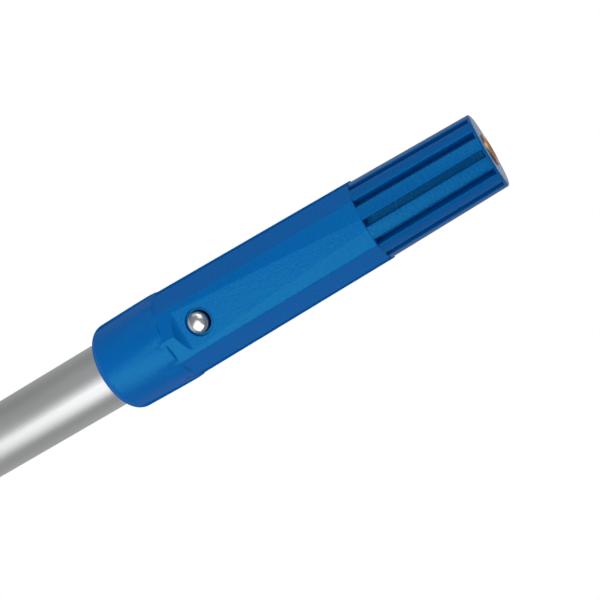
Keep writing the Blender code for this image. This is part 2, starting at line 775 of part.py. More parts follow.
def main():
    clear_scene()
    blue_plastic = material("blue_plastic", (0.003, 0.125, 0.39), 0.42)
    black_plastic = material("black_plastic", (0.02, 0.02, 0.022), 0.5)
    white_acetal = material("white_acetal", (0.75, 0.74, 0.7), 0.4)
    rubber = material("rubber", (0.025, 0.025, 0.027), 0.8)
    aluminium = material("aluminium", (0.72, 0.72, 0.71), 0.35, 1.0)
    chrome = material("chrome", (0.82, 0.83, 0.84), 0.08, 1.0)
    steel = material("steel", (0.55, 0.55, 0.56), 0.3, 1.0)
    brass = material("brass", (0.72, 0.45, 0.16), 0.3, 1.0)

    outer_section = empty("outer_section", 0.0)
    build_butt_cap(outer_section, black_plastic)
    build_outer_tube(outer_section, aluminium)
    build_hand_grip(outer_section, rubber)

    clamp = empty("clamp", clamp_foot, outer_section)
    build_clamp_body(clamp, black_plastic)
    build_clamp_rivets(clamp, steel)
    build_guide_bush(clamp, white_acetal)
    build_collet(clamp, white_acetal)
    build_clamp_nut(clamp, blue_plastic)
    build_wiper_ring(clamp, rubber)

    inner_section = empty("inner_section", plug_foot)
    build_guide_plug(inner_section, black_plastic)
    build_glide_ring(inner_section, white_acetal)
    build_plug_pin(inner_section, steel)
    build_inner_tube(inner_section, aluminium)
    build_tool_cone(inner_section, blue_plastic)
    build_thread_insert(inner_section, brass)
    build_button_spring(inner_section, steel)

    button_axis = empty("button_axis", button_height, inner_section)
    button_axis.rotation_euler = (math.pi / 2, 0.0, 0.0)
    build_lock_button(button_axis, chrome)


main()
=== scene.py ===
"""A telescopic window cleaning pole, dressed piece by piece from its butt to its tool cone.

Lengths are in metres, with the pole standing on its butt and its snap button facing -Y.
"""

import math

import bmesh
import bpy
from mathutils import Matrix, Quaternion, Vector


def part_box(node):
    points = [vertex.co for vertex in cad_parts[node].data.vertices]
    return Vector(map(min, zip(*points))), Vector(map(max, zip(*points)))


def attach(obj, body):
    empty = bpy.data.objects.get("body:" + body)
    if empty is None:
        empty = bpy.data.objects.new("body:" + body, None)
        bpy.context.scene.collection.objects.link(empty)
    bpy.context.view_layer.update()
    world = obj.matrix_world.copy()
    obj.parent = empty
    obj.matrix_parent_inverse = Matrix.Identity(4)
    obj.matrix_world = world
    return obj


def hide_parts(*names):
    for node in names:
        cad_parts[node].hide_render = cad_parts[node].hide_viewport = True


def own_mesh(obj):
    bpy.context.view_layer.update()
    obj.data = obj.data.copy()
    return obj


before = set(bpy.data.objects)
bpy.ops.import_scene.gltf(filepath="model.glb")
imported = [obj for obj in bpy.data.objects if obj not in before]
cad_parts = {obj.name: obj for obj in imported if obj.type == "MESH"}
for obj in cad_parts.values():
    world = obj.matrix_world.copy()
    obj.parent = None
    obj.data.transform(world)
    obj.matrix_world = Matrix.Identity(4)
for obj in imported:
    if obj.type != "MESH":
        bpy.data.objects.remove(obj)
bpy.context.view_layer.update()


# Outer tube.  Drawn aluminium tube, satin anodised in its natural silver.  Both ends are sawn square and
# brushed free of burrs.  The die leaves faint lines along it, and handling leaves soft, cloudy rubs.
OUTER_TUBE_OUTSIDE = 0.013
OUTER_TUBE_BORE = 0.012
BURR_EDGE = 0.00025
QUARTER_TURN = math.pi / 2


def linear(colour):
    """The scene's linear colour for an sRGB hex value."""
    parts = [int(colour[place : place + 2], 16) / 255 for place in (1, 3, 5)]
    parts = [c / 12.92 if c <= 0.04045 else ((c + 0.055) / 1.055) ** 2.4 for c in parts]
    return (*parts, 1.0)


def add(tree, kind, inputs, **settings):
    """A node with its settings, and its inputs as values or as links from other nodes' sockets."""
    made = tree.nodes.new(kind)
    for name, value in settings.items():
        setattr(made, name, value)
    for socket, value in inputs.items():
        if isinstance(value, bpy.types.NodeSocket):
            tree.links.new(value, made.inputs[socket])
        else:
            made.inputs[socket].default_value = value
    return made


def start_material(name):
    """An empty material, its node tree and its output."""
    made = bpy.data.materials.new(name)
    made.use_nodes = True
    made.node_tree.nodes.clear()
    out = made.node_tree.nodes.new("ShaderNodeOutputMaterial")
    return made, made.node_tree, out


def softened(outline, steps=4):
    """Rounds the corners of an outline of (radius, height, edge size), with a point beside each rounding.

    No rounding takes more than a third of a side, and the points beside it keep the sides' shading flat.
    """
    points = []
    for spot, (radius, height, edge) in enumerate(outline):
        corner = Vector((radius, height))
        if edge == 0:
            points.append(corner)
            continue
        before = Vector(outline[spot - 1][:2]) - corner
        after = Vector(outline[(spot + 1) % len(outline)][:2]) - corner
        reach = min(edge, 0.32 * before.length, 0.32 * after.length)
        to_first = before.normalized() * reach
        to_last = after.normalized() * reach
        points.append(corner + to_first * 1.5)
        for step in range(steps + 1):
            share = step / steps
            inward = (corner + to_first).lerp(corner, share)
            outward = corner.lerp(corner + to_last, share)
            points.append(inward.lerp(outward, share))
        points.append(corner + to_last * 1.5)
    return points


def arc(steps, angle=QUARTER_TURN):
    """Cosine and sine at even steps from 0 to an angle."""
    return [(math.cos(angle * step / steps), math.sin(angle * step / steps)) for step in range(steps + 1)]


def direction(angle):
    """A unit vector out from the pole's axis; angle 0 is the button's side and a quarter turn is +X."""
    return Vector((math.sin(angle), -math.cos(angle), 0.0))


def loft(name, rings, hollow=False):
    """A closed skin over rings of equally many points; a hollow one joins its last ring to its first."""
    shape = bmesh.new()
    loops = [[shape.verts.new(point) for point in points] for points in rings]
    pairs = list(zip(loops, loops[1:]))
    if hollow:
        pairs.append((loops[-1], loops[0]))
    else:
        shape.faces.new(loops[0])
        shape.faces.new(loops[-1])
    for lower, upper in pairs:
        for step in range(len(lower)):
            shape.faces.new((lower[step - 1], lower[step], upper[step], upper[step - 1]))
    bmesh.ops.recalc_face_normals(shape, faces=shape.faces)
    mesh = bpy.data.meshes.new(name)
    shape.to_mesh(mesh)
    shape.free()
    return mesh


def at_height(height):
    """A point on the pole's axis."""
    return Vector((0, 0, height))


def turned(name, outline, sides=96, hollow=False):
    """A turned body from an outline of (radius, height) points."""
    ways_out = [direction(2 * math.pi * step / sides) for step in range(sides)]
    rings = [[way * radius + at_height(height) for way in ways_out] for radius, height in outline]
    return loft(name, rings, hollow)


def fit(name, mesh, finish, body, nodes=(), sharp=38):
    """Puts a piece on its body, with its finish, in place of the CAD nodes that it stands for."""
    made = bpy.data.objects.new(name, mesh)
    mesh.materials.append(finish)
    mesh.shade_smooth()
    mesh.set_sharp_from_angle(angle=math.radians(sharp))
    bpy.context.scene.collection.objects.link(made)
    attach(made, body)
    if nodes:
        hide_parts(*nodes)
    return made


# The anodic film scatters part of the light and gives a soft, slightly grey metal.  Its lines are 0.12 mm
# apart round the tube and some 60 mm long, so that highlights run along the tube and fray at their edges.
satin_anodised_aluminium, tree, out = start_material("satin_anodised_aluminium")
place = add(tree, "ShaderNodeTexCoord", {})
drawn = add(tree, "ShaderNodeMapping", {"Vector": place.outputs["Object"], "Scale": (8000, 8000, 16)})
lines = add(tree, "ShaderNodeTexNoise", {"Vector": drawn.outputs[0], "Scale": 1.0, "Detail": 2.0})
rubbed = add(tree, "ShaderNodeMapping", {"Vector": place.outputs["Object"], "Scale": (90, 90, 25)})
rubs = add(tree, "ShaderNodeTexNoise", {"Vector": rubbed.outputs[0], "Scale": 1.0, "Detail": 5.0})
tone = add(
    tree,
    "ShaderNodeMix",
    {"Factor": rubs.outputs[0], "A": linear("#d2d4d5"), "B": linear("#dfe0e0")},
    data_type="RGBA",
)
gloss = add(
    tree,
    "ShaderNodeMapRange",
    {"Value": lines.outputs[0], "From Min": 0.3, "From Max": 0.7, "To Min": 0.35, "To Max": 0.45},
)
grain = add(tree, "ShaderNodeBump", {"Height": lines.outputs[0], "Strength": 0.12, "Distance": 0.00003})
metal = add(
    tree,
    "ShaderNodeBsdfPrincipled",
    {
        "Base Color": tone.outputs["Result"],
        "Metallic": 0.82,
        "Roughness": gloss.outputs[0],
        "Normal": grain.outputs[0],
    },
)
tree.links.new(metal.outputs[0], out.inputs[0])

low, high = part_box("outer_tube")
outer_tube_outline = (
    (OUTER_TUBE_OUTSIDE, low.z, BURR_EDGE),
    (OUTER_TUBE_OUTSIDE, high.z, BURR_EDGE),
    (OUTER_TUBE_BORE, high.z, BURR_EDGE),
    (OUTER_TUBE_BORE, low.z, BURR_EDGE),
)
outer_tube = turned("outer_tube_mesh", softened(outer_tube_outline), hollow=True)
fit("outer_tube_dressed", outer_tube, satin_anodised_aluminium, "outer_section", ["outer_tube"])


# Butt cap.  Injection-moulded black nylon plug with a rounded flange, pushed into the foot of the outer tube.
# Its end is flat with a soft rim, so that the pole stands on it, and a shallow dish keeps the rim flat.
CAP_RADIUS = 0.0158
CAP_CENTRE = 0.0008
CAP_FLANGE = 0.005
CAP_EDGE = 0.002
CAP_PLUG_RADIUS = 0.0117
CAP_PLUG_BORE = 0.0097
CAP_DISH_RADIUS = 0.009
CAP_DISH_SLOPE = 0.0006
CAP_DISH_DEPTH = 0.0006

# Nylon moulded in a spark-eroded tool: a fine even grain of 0.3 mm, with a low satin gloss on its tops.
grained_black_nylon, tree, out = start_material("grained_black_nylon")
place = add(tree, "ShaderNodeTexCoord", {})
grain = add(
    tree, "ShaderNodeTexVoronoi", {"Vector": place.outputs["Object"], "Scale": 3200.0}, feature="SMOOTH_F1"
)
cloud = add(tree, "ShaderNodeTexNoise", {"Vector": place.outputs["Object"], "Scale": 120.0, "Detail": 4.0})
tone = add(
    tree,
    "ShaderNodeMix",
    {"Factor": cloud.outputs[0], "A": linear("#1a1b1d"), "B": linear("#242527")},
    data_type="RGBA",
)
gloss = add(tree, "ShaderNodeMapRange", {"Value": cloud.outputs[0], "To Min": 0.42, "To Max": 0.56})
relief = add(tree, "ShaderNodeBump", {"Height": grain.outputs[0], "Strength": 0.25, "Distance": 0.00004})
nylon = add(
    tree,
    "ShaderNodeBsdfPrincipled",
    {
        "Base Color": tone.outputs["Result"],
        "Roughness": gloss.outputs[0],
        "IOR": 1.53,
        "Normal": relief.outputs[0],
    },
)
tree.links.new(nylon.outputs[0], out.inputs[0])

low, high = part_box("butt_cap")
cap_outline = softened(
    (
        (CAP_CENTRE, low.z + CAP_DISH_DEPTH, 0),
        (CAP_DISH_RADIUS, low.z + CAP_DISH_DEPTH, 0.0003),
        (CAP_DISH_RADIUS + CAP_DISH_SLOPE, low.z, 0.0003),
        (CAP_RADIUS, low.z, CAP_EDGE),
        (CAP_RADIUS, low.z + CAP_FLANGE, 0.0005),
        (CAP_PLUG_RADIUS, low.z + CAP_FLANGE, 0),
        (CAP_PLUG_RADIUS, high.z, 0.0006),
        (CAP_PLUG_BORE, high.z, 0.0004),
        (CAP_PLUG_BORE, low.z + CAP_FLANGE, 0),
        (CAP_CENTRE, low.z + CAP_FLANGE, 0),
    )
)
butt_cap = turned("butt_cap_mesh", cap_outline)
fit("butt_cap_dressed", butt_cap, grained_black_nylon, "outer_section", ["butt_cap"])


# Hand grip.  Moulded rubber sleeve, slid on the outer tube over a film of glue.  Eight broad grooves stop
# the hand from sliding, and the rubber has a fine diamond pattern for wet fingers.
GRIP_RADIUS = 0.0158
GRIP_BORE = 0.0133
GRIP_GROOVES = 8
GRIP_GROOVE_DEPTH = 0.0009
GRIP_GROOVE_WIDTH = 0.003
GRIP_END = 0.0012
DIAMOND_RIDGES = 38.0
DIAMOND_CLIMB = 2400.0

# Matt rubber: a dry black with a greyish bloom.  Two families of 38 slanting ridges wind round the sleeve,
# 1.85 mm apart, and their crossings make the diamonds.
moulded_rubber, tree, out = start_material("moulded_rubber")
place = add(tree, "ShaderNodeTexCoord", {})
spot = add(tree, "ShaderNodeSeparateXYZ", {"Vector": place.outputs["Object"]})
turn = add(tree, "ShaderNodeMath", {0: spot.outputs[1], 1: spot.outputs[0]}, operation="ARCTAN2")
climb = add(tree, "ShaderNodeMath", {0: spot.outputs[2], 1: DIAMOND_CLIMB}, operation="MULTIPLY")
ridges = []
for twist in (DIAMOND_RIDGES, -DIAMOND_RIDGES):
    winding = {0: turn.outputs[0], 1: twist, 2: climb.outputs[0]}
    wound = add(tree, "ShaderNodeMath", winding, operation="MULTIPLY_ADD")
    ridges.append(add(tree, "ShaderNodeMath", {0: wound.outputs[0]}, operation="SINE"))
crossing = {0: ridges[0].outputs[0], 1: ridges[1].outputs[0]}
diamonds = add(tree, "ShaderNodeMath", crossing, operation="MAXIMUM")
bloom = add(tree, "ShaderNodeTexNoise", {"Vector": place.outputs["Object"], "Scale": 160.0, "Detail": 6.0})
tone = add(
    tree,
    "ShaderNodeMix",
    {"Factor": bloom.outputs[0], "A": linear("#17181a"), "B": linear("#2b2c2e")},
    data_type="RGBA",
)
relief = add(tree, "ShaderNodeBump", {"Height": diamonds.outputs[0], "Strength": 0.5, "Distance": 0.00012})
rubber = add(
    tree,
    "ShaderNodeBsdfPrincipled",
    {"Base Color": tone.outputs["Result"], "Roughness": 0.68, "IOR": 1.5, "Normal": relief.outputs[0]},
)
tree.links.new(rubber.outputs[0], out.inputs[0])

low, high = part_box("hand_grip")
grip_outline = [(GRIP_BORE, low.z, 0), (GRIP_RADIUS, low.z, GRIP_END)]
for groove in range(1, GRIP_GROOVES + 1):
    middle = low.z + (high.z - low.z) * groove / (GRIP_GROOVES + 1)
    grip_outline += [
        (GRIP_RADIUS, middle - GRIP_GROOVE_WIDTH / 2, 0.0006),
        (GRIP_RADIUS - GRIP_GROOVE_DEPTH, middle - GRIP_GROOVE_WIDTH / 6, 0.0003),
        (GRIP_RADIUS - GRIP_GROOVE_DEPTH, middle + GRIP_GROOVE_WIDTH / 6, 0.0003),
        (GRIP_RADIUS, middle + GRIP_GROOVE_WIDTH / 2, 0.0006),
    ]
grip_outline += [(GRIP_RADIUS, high.z, GRIP_END), (GRIP_BORE, high.z, 0)]
hand_grip = turned("hand_grip_mesh", softened(grip_outline), hollow=True)
fit("hand_grip_dressed", hand_grip, moulded_rubber, "outer_section", ["hand_grip"])


# Clamp body.  Glass-filled nylon, moulded in one: a skirt round the top of the outer tube, a flange that
# stops the hand, a coarse thread for the nut, and a tapered mouth that squeezes the collet.
CLAMP_FOOT = 0.4617
BODY_RADIUS = 0.0152
BODY_BORE = 0.0133
BODY_FLANGE_RADIUS = 0.0176
BODY_FLANGE_FOOT = CLAMP_FOOT + 0.026
BODY_FLANGE_TOP = CLAMP_FOOT + 0.029
BODY_NECK_FOOT = CLAMP_FOOT + 0.04
BODY_MOUTH_FOOT = CLAMP_FOOT + 0.043
BODY_TOP = CLAMP_FOOT + 0.0537
BODY_NECK_BORE = 0.0122
BODY_MOUTH_BORE = 0.0142
CLAMP_PITCH = 0.003
CLAMP_THREAD_HEIGHT = 0.001
CLAMP_THREAD_START = BODY_FLANGE_TOP + 0.0045
CLAMP_THREAD_ROOT = 0.0014
CLAMP_THREAD_CREST = 0.0007
CLAMP_THREAD_SINK = 0.0003


def thread_ridge(name, root, crest, start, pitch, turns, root_width, crest_width, sides=72):
    """A helical ridge that fades in and out of its wall over a sixth of a turn at its ends."""
    rings = []
    steps = int(turns * sides)
    for step in range(steps + 1):
        fade = min(1.0, 6 * step / sides + 0.02, 6 * (steps - step) / sides + 0.02)
        top = root + (crest - root) * fade
        height = start + pitch * step / sides
        way_out = direction(2 * math.pi * step / sides)
        shoulder = root + (top - root) * 0.85
        shoulder_rise = crest_width / 2 + (root_width - crest_width) * 0.06
        upper_half = [(top, crest_width * 0.36), (shoulder, shoulder_rise), (root, root_width / 2)]
        section = [(radius, -rise) for radius, rise in reversed(upper_half)] + upper_half
        rings.append([way_out * radius + at_height(height + rise) for radius, rise in section])
    return loft(name, rings)


body_outline = softened(
    (
        (BODY_BORE, CLAMP_FOOT, 0.0003),
        (BODY_RADIUS, CLAMP_FOOT, 0.0007),
        (BODY_RADIUS, BODY_FLANGE_FOOT, 0.0004),
        (BODY_FLANGE_RADIUS, BODY_FLANGE_FOOT, 0.0008),
        (BODY_FLANGE_RADIUS, BODY_FLANGE_TOP, 0.0006),
        (BODY_RADIUS, BODY_FLANGE_TOP, 0.0003),
        (BODY_RADIUS, BODY_TOP, 0.0003),
        (BODY_MOUTH_BORE, BODY_TOP, 0.0003),
        (BODY_NECK_BORE, BODY_MOUTH_FOOT, 0.0003),
        (BODY_NECK_BORE, BODY_NECK_FOOT, 0),
        (BODY_BORE, BODY_NECK_FOOT, 0),
    )
)
clamp_body = turned("clamp_body_mesh", body_outline, hollow=True)
fit("clamp_body_dressed", clamp_body, grained_black_nylon, "outer_section", ["clamp_body"])
body_thread = thread_ridge(
    "body_thread_mesh",
    root=BODY_RADIUS - CLAMP_THREAD_SINK,
    crest=BODY_RADIUS + CLAMP_THREAD_HEIGHT,
    start=CLAMP_THREAD_START,
    pitch=CLAMP_PITCH,
    turns=4.0,
    root_width=CLAMP_THREAD_ROOT,
    crest_width=CLAMP_THREAD_CREST,
)
fit("clamp_body_thread", body_thread, grained_black_nylon, "outer_section")


# Rivets.  Two zinc-plated steel rivets with low domed heads hold the clamp body on the tube, one on each
# side.  Plating leaves them bright grey with a faint mottle.
RIVET_CLIMB = CLAMP_FOOT + 0.014
RIVET_SHANK = 0.0015
RIVET_HEAD = 0.0028
RIVET_HEAD_FOOT = 0.0155
RIVET_HEAD_HEIGHT = 0.0011
RIVET_HEAD_FULLNESS = 0.8
RIVET_INNER_END = 0.01215

zinc_plated_steel, tree, out = start_material("zinc_plated_steel")
place = add(tree, "ShaderNodeTexCoord", {})
mottle = add(tree, "ShaderNodeTexNoise", {"Vector": place.outputs["Object"], "Scale": 900.0, "Detail": 4.0})
tone = add(
    tree,
    "ShaderNodeMix",
    {"Factor": mottle.outputs[0], "A": linear("#a9acb0"), "B": linear("#c6c8ca")},
    data_type="RGBA",
)
gloss = add(tree, "ShaderNodeMapRange", {"Value": mottle.outputs[0], "To Min": 0.2, "To Max": 0.38})
zinc = add(
    tree,
    "ShaderNodeBsdfPrincipled",
    {"Base Color": tone.outputs["Result"], "Metallic": 1.0, "Roughness": gloss.outputs[0]},
)
tree.links.new(zinc.outputs[0], out.inputs[0])

rivet_outline = [
    (RIVET_SHANK, RIVET_INNER_END),
    (RIVET_SHANK, RIVET_HEAD_FOOT),
    (RIVET_HEAD, RIVET_HEAD_FOOT),
]
for cosine, sine in arc(10)[:-1]:
    radius = RIVET_HEAD * cosine**RIVET_HEAD_FULLNESS
    rivet_outline.append((radius, RIVET_HEAD_FOOT + RIVET_HEAD_HEIGHT * sine))
for name, side in (("clamp_rivet_right", 1), ("clamp_rivet_left", -1)):
    rivet = turned(name + "_mesh", rivet_outline, 48)
    rivet.transform(Matrix.Rotation(side * QUARTER_TURN, 4, "Y"))
    rivet.transform(Matrix.Translation((0, 0, RIVET_CLIMB)))
    fit(name + "_dressed", rivet, zinc_plated_steel, "outer_section", [name])


# Guide bush.  Thin moulded acetal sleeve with a small flange, sprung into the mouth of the outer tube, so
# that the inner tube slides on plastic.  Acetal is a milky white with a waxy gloss.
waxy_white_acetal, tree, out = start_material("waxy_white_acetal")
place = add(tree, "ShaderNodeTexCoord", {})
cloud = add(tree, "ShaderNodeTexNoise", {"Vector": place.outputs["Object"], "Scale": 220.0, "Detail": 3.0})
tone = add(
    tree,
    "ShaderNodeMix",
    {"Factor": cloud.outputs[0], "A": linear("#e2dfd6"), "B": linear("#ece9e1")},
    data_type="RGBA",
)
gloss = add(tree, "ShaderNodeMapRange", {"Value": cloud.outputs[0], "To Min": 0.26, "To Max": 0.4})
acetal = add(
    tree,
    "ShaderNodeBsdfPrincipled",
    {"Base Color": tone.outputs["Result"], "Roughness": gloss.outputs[0], "IOR": 1.48},
)
tree.links.new(acetal.outputs[0], out.inputs[0])
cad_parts["guide_bush"].data.materials[0] = waxy_white_acetal


# Collet.  Acetal ring with six slots from below and a rim above.  The nut presses it down into the body's
# tapered mouth, and its fingers close on the inner tube.
COLLET_FOOT = BODY_MOUTH_FOOT + 0.0003
COLLET_BORE = 0.0113
COLLET_FOOT_RADIUS = 0.01196
COLLET_RADIUS = 0.0139
COLLET_RIM_RADIUS = 0.0143
COLLET_RIM_FOOT = BODY_TOP + 0.0003
COLLET_RIM_TOP = BODY_TOP + 0.0028
COLLET_SLOTS = 6
COLLET_SLOT = 0.0016
COLLET_SLOT_FOOT = COLLET_FOOT - 0.002
COLLET_SLOT_TOP = COLLET_RIM_FOOT - 0.0006
COLLET_SLOT_INNER = 0.009
COLLET_SLOT_OUTER = 0.02


def boxes(name, corners):
    """Separate blocks in one mesh, each from four corners below and four above."""
    shape = bmesh.new()
    for below, above in corners:
        lower = [shape.verts.new(point) for point in below]
        upper = [shape.verts.new(point) for point in above]
        shape.faces.new(lower)
        shape.faces.new(upper)
        for step in range(4):
            shape.faces.new((lower[step - 1], lower[step], upper[step], upper[step - 1]))
    bmesh.ops.recalc_face_normals(shape, faces=shape.faces)
    mesh = bpy.data.meshes.new(name)
    shape.to_mesh(mesh)
    shape.free()
    return mesh


def cut(name, mesh, cutter):
    """The mesh with the cutter's shape taken out of it."""
    whole = bpy.data.objects.new(name + "_whole", mesh)
    knife = bpy.data.objects.new(name + "_knife", cutter)
    bpy.context.scene.collection.objects.link(whole)
    bpy.context.scene.collection.objects.link(knife)
    carving = whole.modifiers.new("cut", "BOOLEAN")
    carving.operation = "DIFFERENCE"
    carving.solver = "EXACT"
    carving.object = knife
    evaluated = whole.evaluated_get(bpy.context.evaluated_depsgraph_get())
    made = bpy.data.meshes.new_from_object(evaluated)
    made.name = name
    bpy.data.objects.remove(whole)
    bpy.data.objects.remove(knife)
    return made


collet_outline = softened(
    (
        (COLLET_BORE, COLLET_FOOT, 0.0003),
        (COLLET_FOOT_RADIUS, COLLET_FOOT, 0),
        (COLLET_RADIUS, BODY_TOP, 0),
        (COLLET_RADIUS, COLLET_RIM_FOOT, 0),
        (COLLET_RIM_RADIUS, COLLET_RIM_FOOT, 0.0002),
        (COLLET_RIM_RADIUS, COLLET_RIM_TOP, 0.0005),
        (COLLET_BORE, COLLET_RIM_TOP, 0.0004),
    )
)
slot_plan = (
    (COLLET_SLOT_INNER, -COLLET_SLOT / 2),
    (COLLET_SLOT_OUTER, -COLLET_SLOT / 2),
    (COLLET_SLOT_OUTER, COLLET_SLOT / 2),
    (COLLET_SLOT_INNER, COLLET_SLOT / 2),
)
slots = []
for slot in range(COLLET_SLOTS):
    turn_to = Matrix.Rotation(2 * math.pi * slot / COLLET_SLOTS, 4, "Z")
    below = [turn_to @ Vector((x, y, COLLET_SLOT_FOOT)) for x, y in slot_plan]
    above = [turn_to @ Vector((x, y, COLLET_SLOT_TOP)) for x, y in slot_plan]
    slots.append((below, above))
collet_ring = turned("collet_ring", collet_outline, hollow=True)
collet = cut("collet_mesh", collet_ring, boxes("collet_slots", slots))
fit("collet_dressed", collet, waxy_white_acetal, "collet", ["collet"])


# Clamp nut.  Moulded in the same blue plastic as the tool cone, with twelve finger lobes, a coarse thread
# inside, and a lip over the wiper ring.
NUT_FOOT = 0.4913
NUT_TOP = 0.5232
NUT_BORE = 0.0165
NUT_RADIUS = 0.0197
NUT_SHOULDER = 0.0032
NUT_LOBES = 12
NUT_LOBE_DEPTH = 0.0009
NUT_LOBE_START = 0.0178
NUT_LOBE_RISE = 0.0017
NUT_SIDES = 288
NUT_LIP_BORE = 0.0117
NUT_LIP_FOOT = NUT_TOP - 0.0014
NUT_WIPER_BORE = 0.0126
NUT_WIPER_FOOT = NUT_TOP - 0.0047
NUT_POCKET_BORE = 0.0146
NUT_POCKET_FOOT = NUT_TOP - 0.0075


# Pigmented polypropylene copolymer, moulded in a spark-eroded tool: a deep cyan blue.  Its grain is drawn
# 0.9 mm across, coarser than the real 0.3 mm, so that it mottles the sheen enough to show.  The pigment tints
# the gloss, and the grain's bumps hide it at a low slant, so the edges stay deep blue.  On the ribs, where
# tools rub, the same plastic is smooth enough to keep some gloss at a slant, and its tone there is painted a
# little darker, as painted shade for the light that falls off towards the tip.
def blue_plastic(name, dark, light, slant_gloss):
    """Blue plastic between two tones that drift over some 14 mm, with its gloss level at a low slant."""
    made, tree, out = start_material(name)
    place = add(tree, "ShaderNodeTexCoord", {}).outputs["Object"]
    grain = add(tree, "ShaderNodeTexNoise", {"Vector": place, "Scale": 1100.0, "Detail": 3.0})
    flow = add(tree, "ShaderNodeTexNoise", {"Vector": place, "Scale": 70.0, "Detail": 4.0})
    tone = add(
        tree,
        "ShaderNodeMix",
        {"Factor": flow.outputs[0], "A": linear(dark), "B": linear(light)},
        data_type="RGBA",
    )
    gloss = add(tree, "ShaderNodeMapRange", {"Value": grain.outputs[0], "To Min": 0.2, "To Max": 0.42})
    relief = add(tree, "ShaderNodeBump", {"Height": grain.outputs[0], "Strength": 1.0, "Distance": 0.0001})
    slant = add(tree, "ShaderNodeLayerWeight", {"Blend": 0.5})
    sheen = add(
        tree,
        "ShaderNodeMapRange",
        {
            "Value": slant.outputs["Facing"],
            "From Min": 0.25,
            "From Max": 0.7,
            "To Min": 0.5,
            "To Max": slant_gloss,
        },
    )
    blue = add(
        tree,
        "ShaderNodeBsdfPrincipled",
        {
            "Base Color": tone.outputs["Result"],
            "Roughness": gloss.outputs[0],
            "IOR": 1.54,
            "Specular IOR Level": sheen.outputs[0],
            "Specular Tint": linear("#5cffff"),
            "Normal": relief.outputs[0],
        },
    )
    tree.links.new(blue.outputs[0], out.inputs[0])
    return made


grained_blue_plastic = blue_plastic("grained_blue_plastic", "#005cab", "#005fb3", slant_gloss=0.0)
# The ribs' darker tones are painted shade, standing for the light that falls off towards the tip.
ribs_painted_shade_blue_plastic = blue_plastic("ribs_painted_shade_blue_plastic", "#0054a0", "#0057a6", slant_gloss=0.3)


def eased(share):
    """A share from 0 to 1, eased at both ends."""
    share = min(max(share, 0.0), 1.0)
    return share * share * (3 - 2 * share)


nut_outline = softened(
    (
        (NUT_BORE, NUT_FOOT, 0.0005),
        (NUT_RADIUS, NUT_FOOT, 0.0014),
        (NUT_RADIUS, NUT_TOP - NUT_SHOULDER / 2, 0.0016),
        (NUT_RADIUS - NUT_SHOULDER, NUT_TOP, 0.0012),
        (NUT_LIP_BORE, NUT_TOP, 0.0004),
        (NUT_LIP_BORE, NUT_LIP_FOOT, 0.0002),
        (NUT_WIPER_BORE, NUT_LIP_FOOT, 0),
        (NUT_WIPER_BORE, NUT_WIPER_FOOT, 0),
        (NUT_POCKET_BORE, NUT_WIPER_FOOT, 0),
        (NUT_POCKET_BORE, NUT_POCKET_FOOT, 0),
        (NUT_BORE, NUT_POCKET_FOOT, 0),
    )
)
nut_rings = []
for radius, height in nut_outline:
    lobing = NUT_LOBE_DEPTH * eased((radius - NUT_LOBE_START) / NUT_LOBE_RISE)
    points = []
    for step in range(NUT_SIDES):
        angle = 2 * math.pi * step / NUT_SIDES
        wave = math.cos(NUT_LOBES * angle)
        reach = radius + lobing * (1.25 * wave - 0.25 * wave * abs(wave))
        points.append(direction(angle) * reach + at_height(height))
    nut_rings.append(points)
clamp_nut = loft("clamp_nut_mesh", nut_rings, hollow=True)
fit("clamp_nut_dressed", clamp_nut, grained_blue_plastic, "clamp_nut", ["clamp_nut"])
nut_thread = thread_ridge(
    "nut_thread_mesh",
    root=NUT_BORE + CLAMP_THREAD_SINK,
    crest=NUT_BORE - CLAMP_THREAD_HEIGHT,
    start=CLAMP_THREAD_START + 1.5 * CLAMP_PITCH,
    pitch=CLAMP_PITCH,
    turns=2.5,
    root_width=CLAMP_THREAD_ROOT,
    crest_width=CLAMP_THREAD_CREST,
)
fit("clamp_nut_thread", nut_thread, grained_blue_plastic, "clamp_nut")


# Wiper ring.  Moulded rubber ring, pressed in under the nut's lip, so that it turns with the nut.  The two
# soft edges of its bore clean the inner tube.
WIPER_BORE = 0.0113
WIPER_GROOVE = 0.0117
WIPER_RADIUS = 0.0123

low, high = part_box("wiper_ring")
middle = (low.z + high.z) / 2
wiper_outline = softened(
    (
        (WIPER_BORE, low.z, 0.0003),
        (WIPER_RADIUS, low.z, 0.0003),
        (WIPER_RADIUS, high.z, 0.0003),
        (WIPER_BORE, high.z, 0.0003),
        (WIPER_GROOVE, middle, 0.0002),
    )
)
wiper_ring = turned("wiper_ring_mesh", wiper_outline, hollow=True)
fit("wiper_ring_dressed", wiper_ring, moulded_rubber, "clamp_nut", ["wiper_ring"])


# Foot of the inner tube.  A black nylon plug carries a split acetal slide ring between two flanges, and a
# drawn steel pin goes across plug and tube.  They stay inside the outer tube.
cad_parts["guide_plug"].data.materials[0] = grained_black_nylon
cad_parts["glide_ring"].data.materials[0] = waxy_white_acetal
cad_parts["plug_pin"].data.materials[0] = zinc_plated_steel


# Inner tube.  The same drawn and anodised aluminium as the outer one, with a pin hole near its foot and a
# punched round hole for the button under the tool cone.
INNER_TUBE_RADIUS = 0.011
INNER_TUBE_BORE = 0.0099
PIN_HOLE = 0.0018
PIN_HOLE_CLIMB = 0.011
TUBE_BUTTON_HOLE = 0.0041
BUTTON_HEIGHT = 0.6526
DRILL_START = 0.004
DRILL_REACH = 0.02


def drill(name, radius, start, end, turn_about, height, sides=64):
    """A round cutter along X or Y, at a height on the pole."""
    made = turned(name, ((radius, start), (radius, end)), sides)
    made.transform(Matrix.Rotation(QUARTER_TURN, 4, turn_about))
    made.transform(Matrix.Translation((0, 0, height)))
    return made


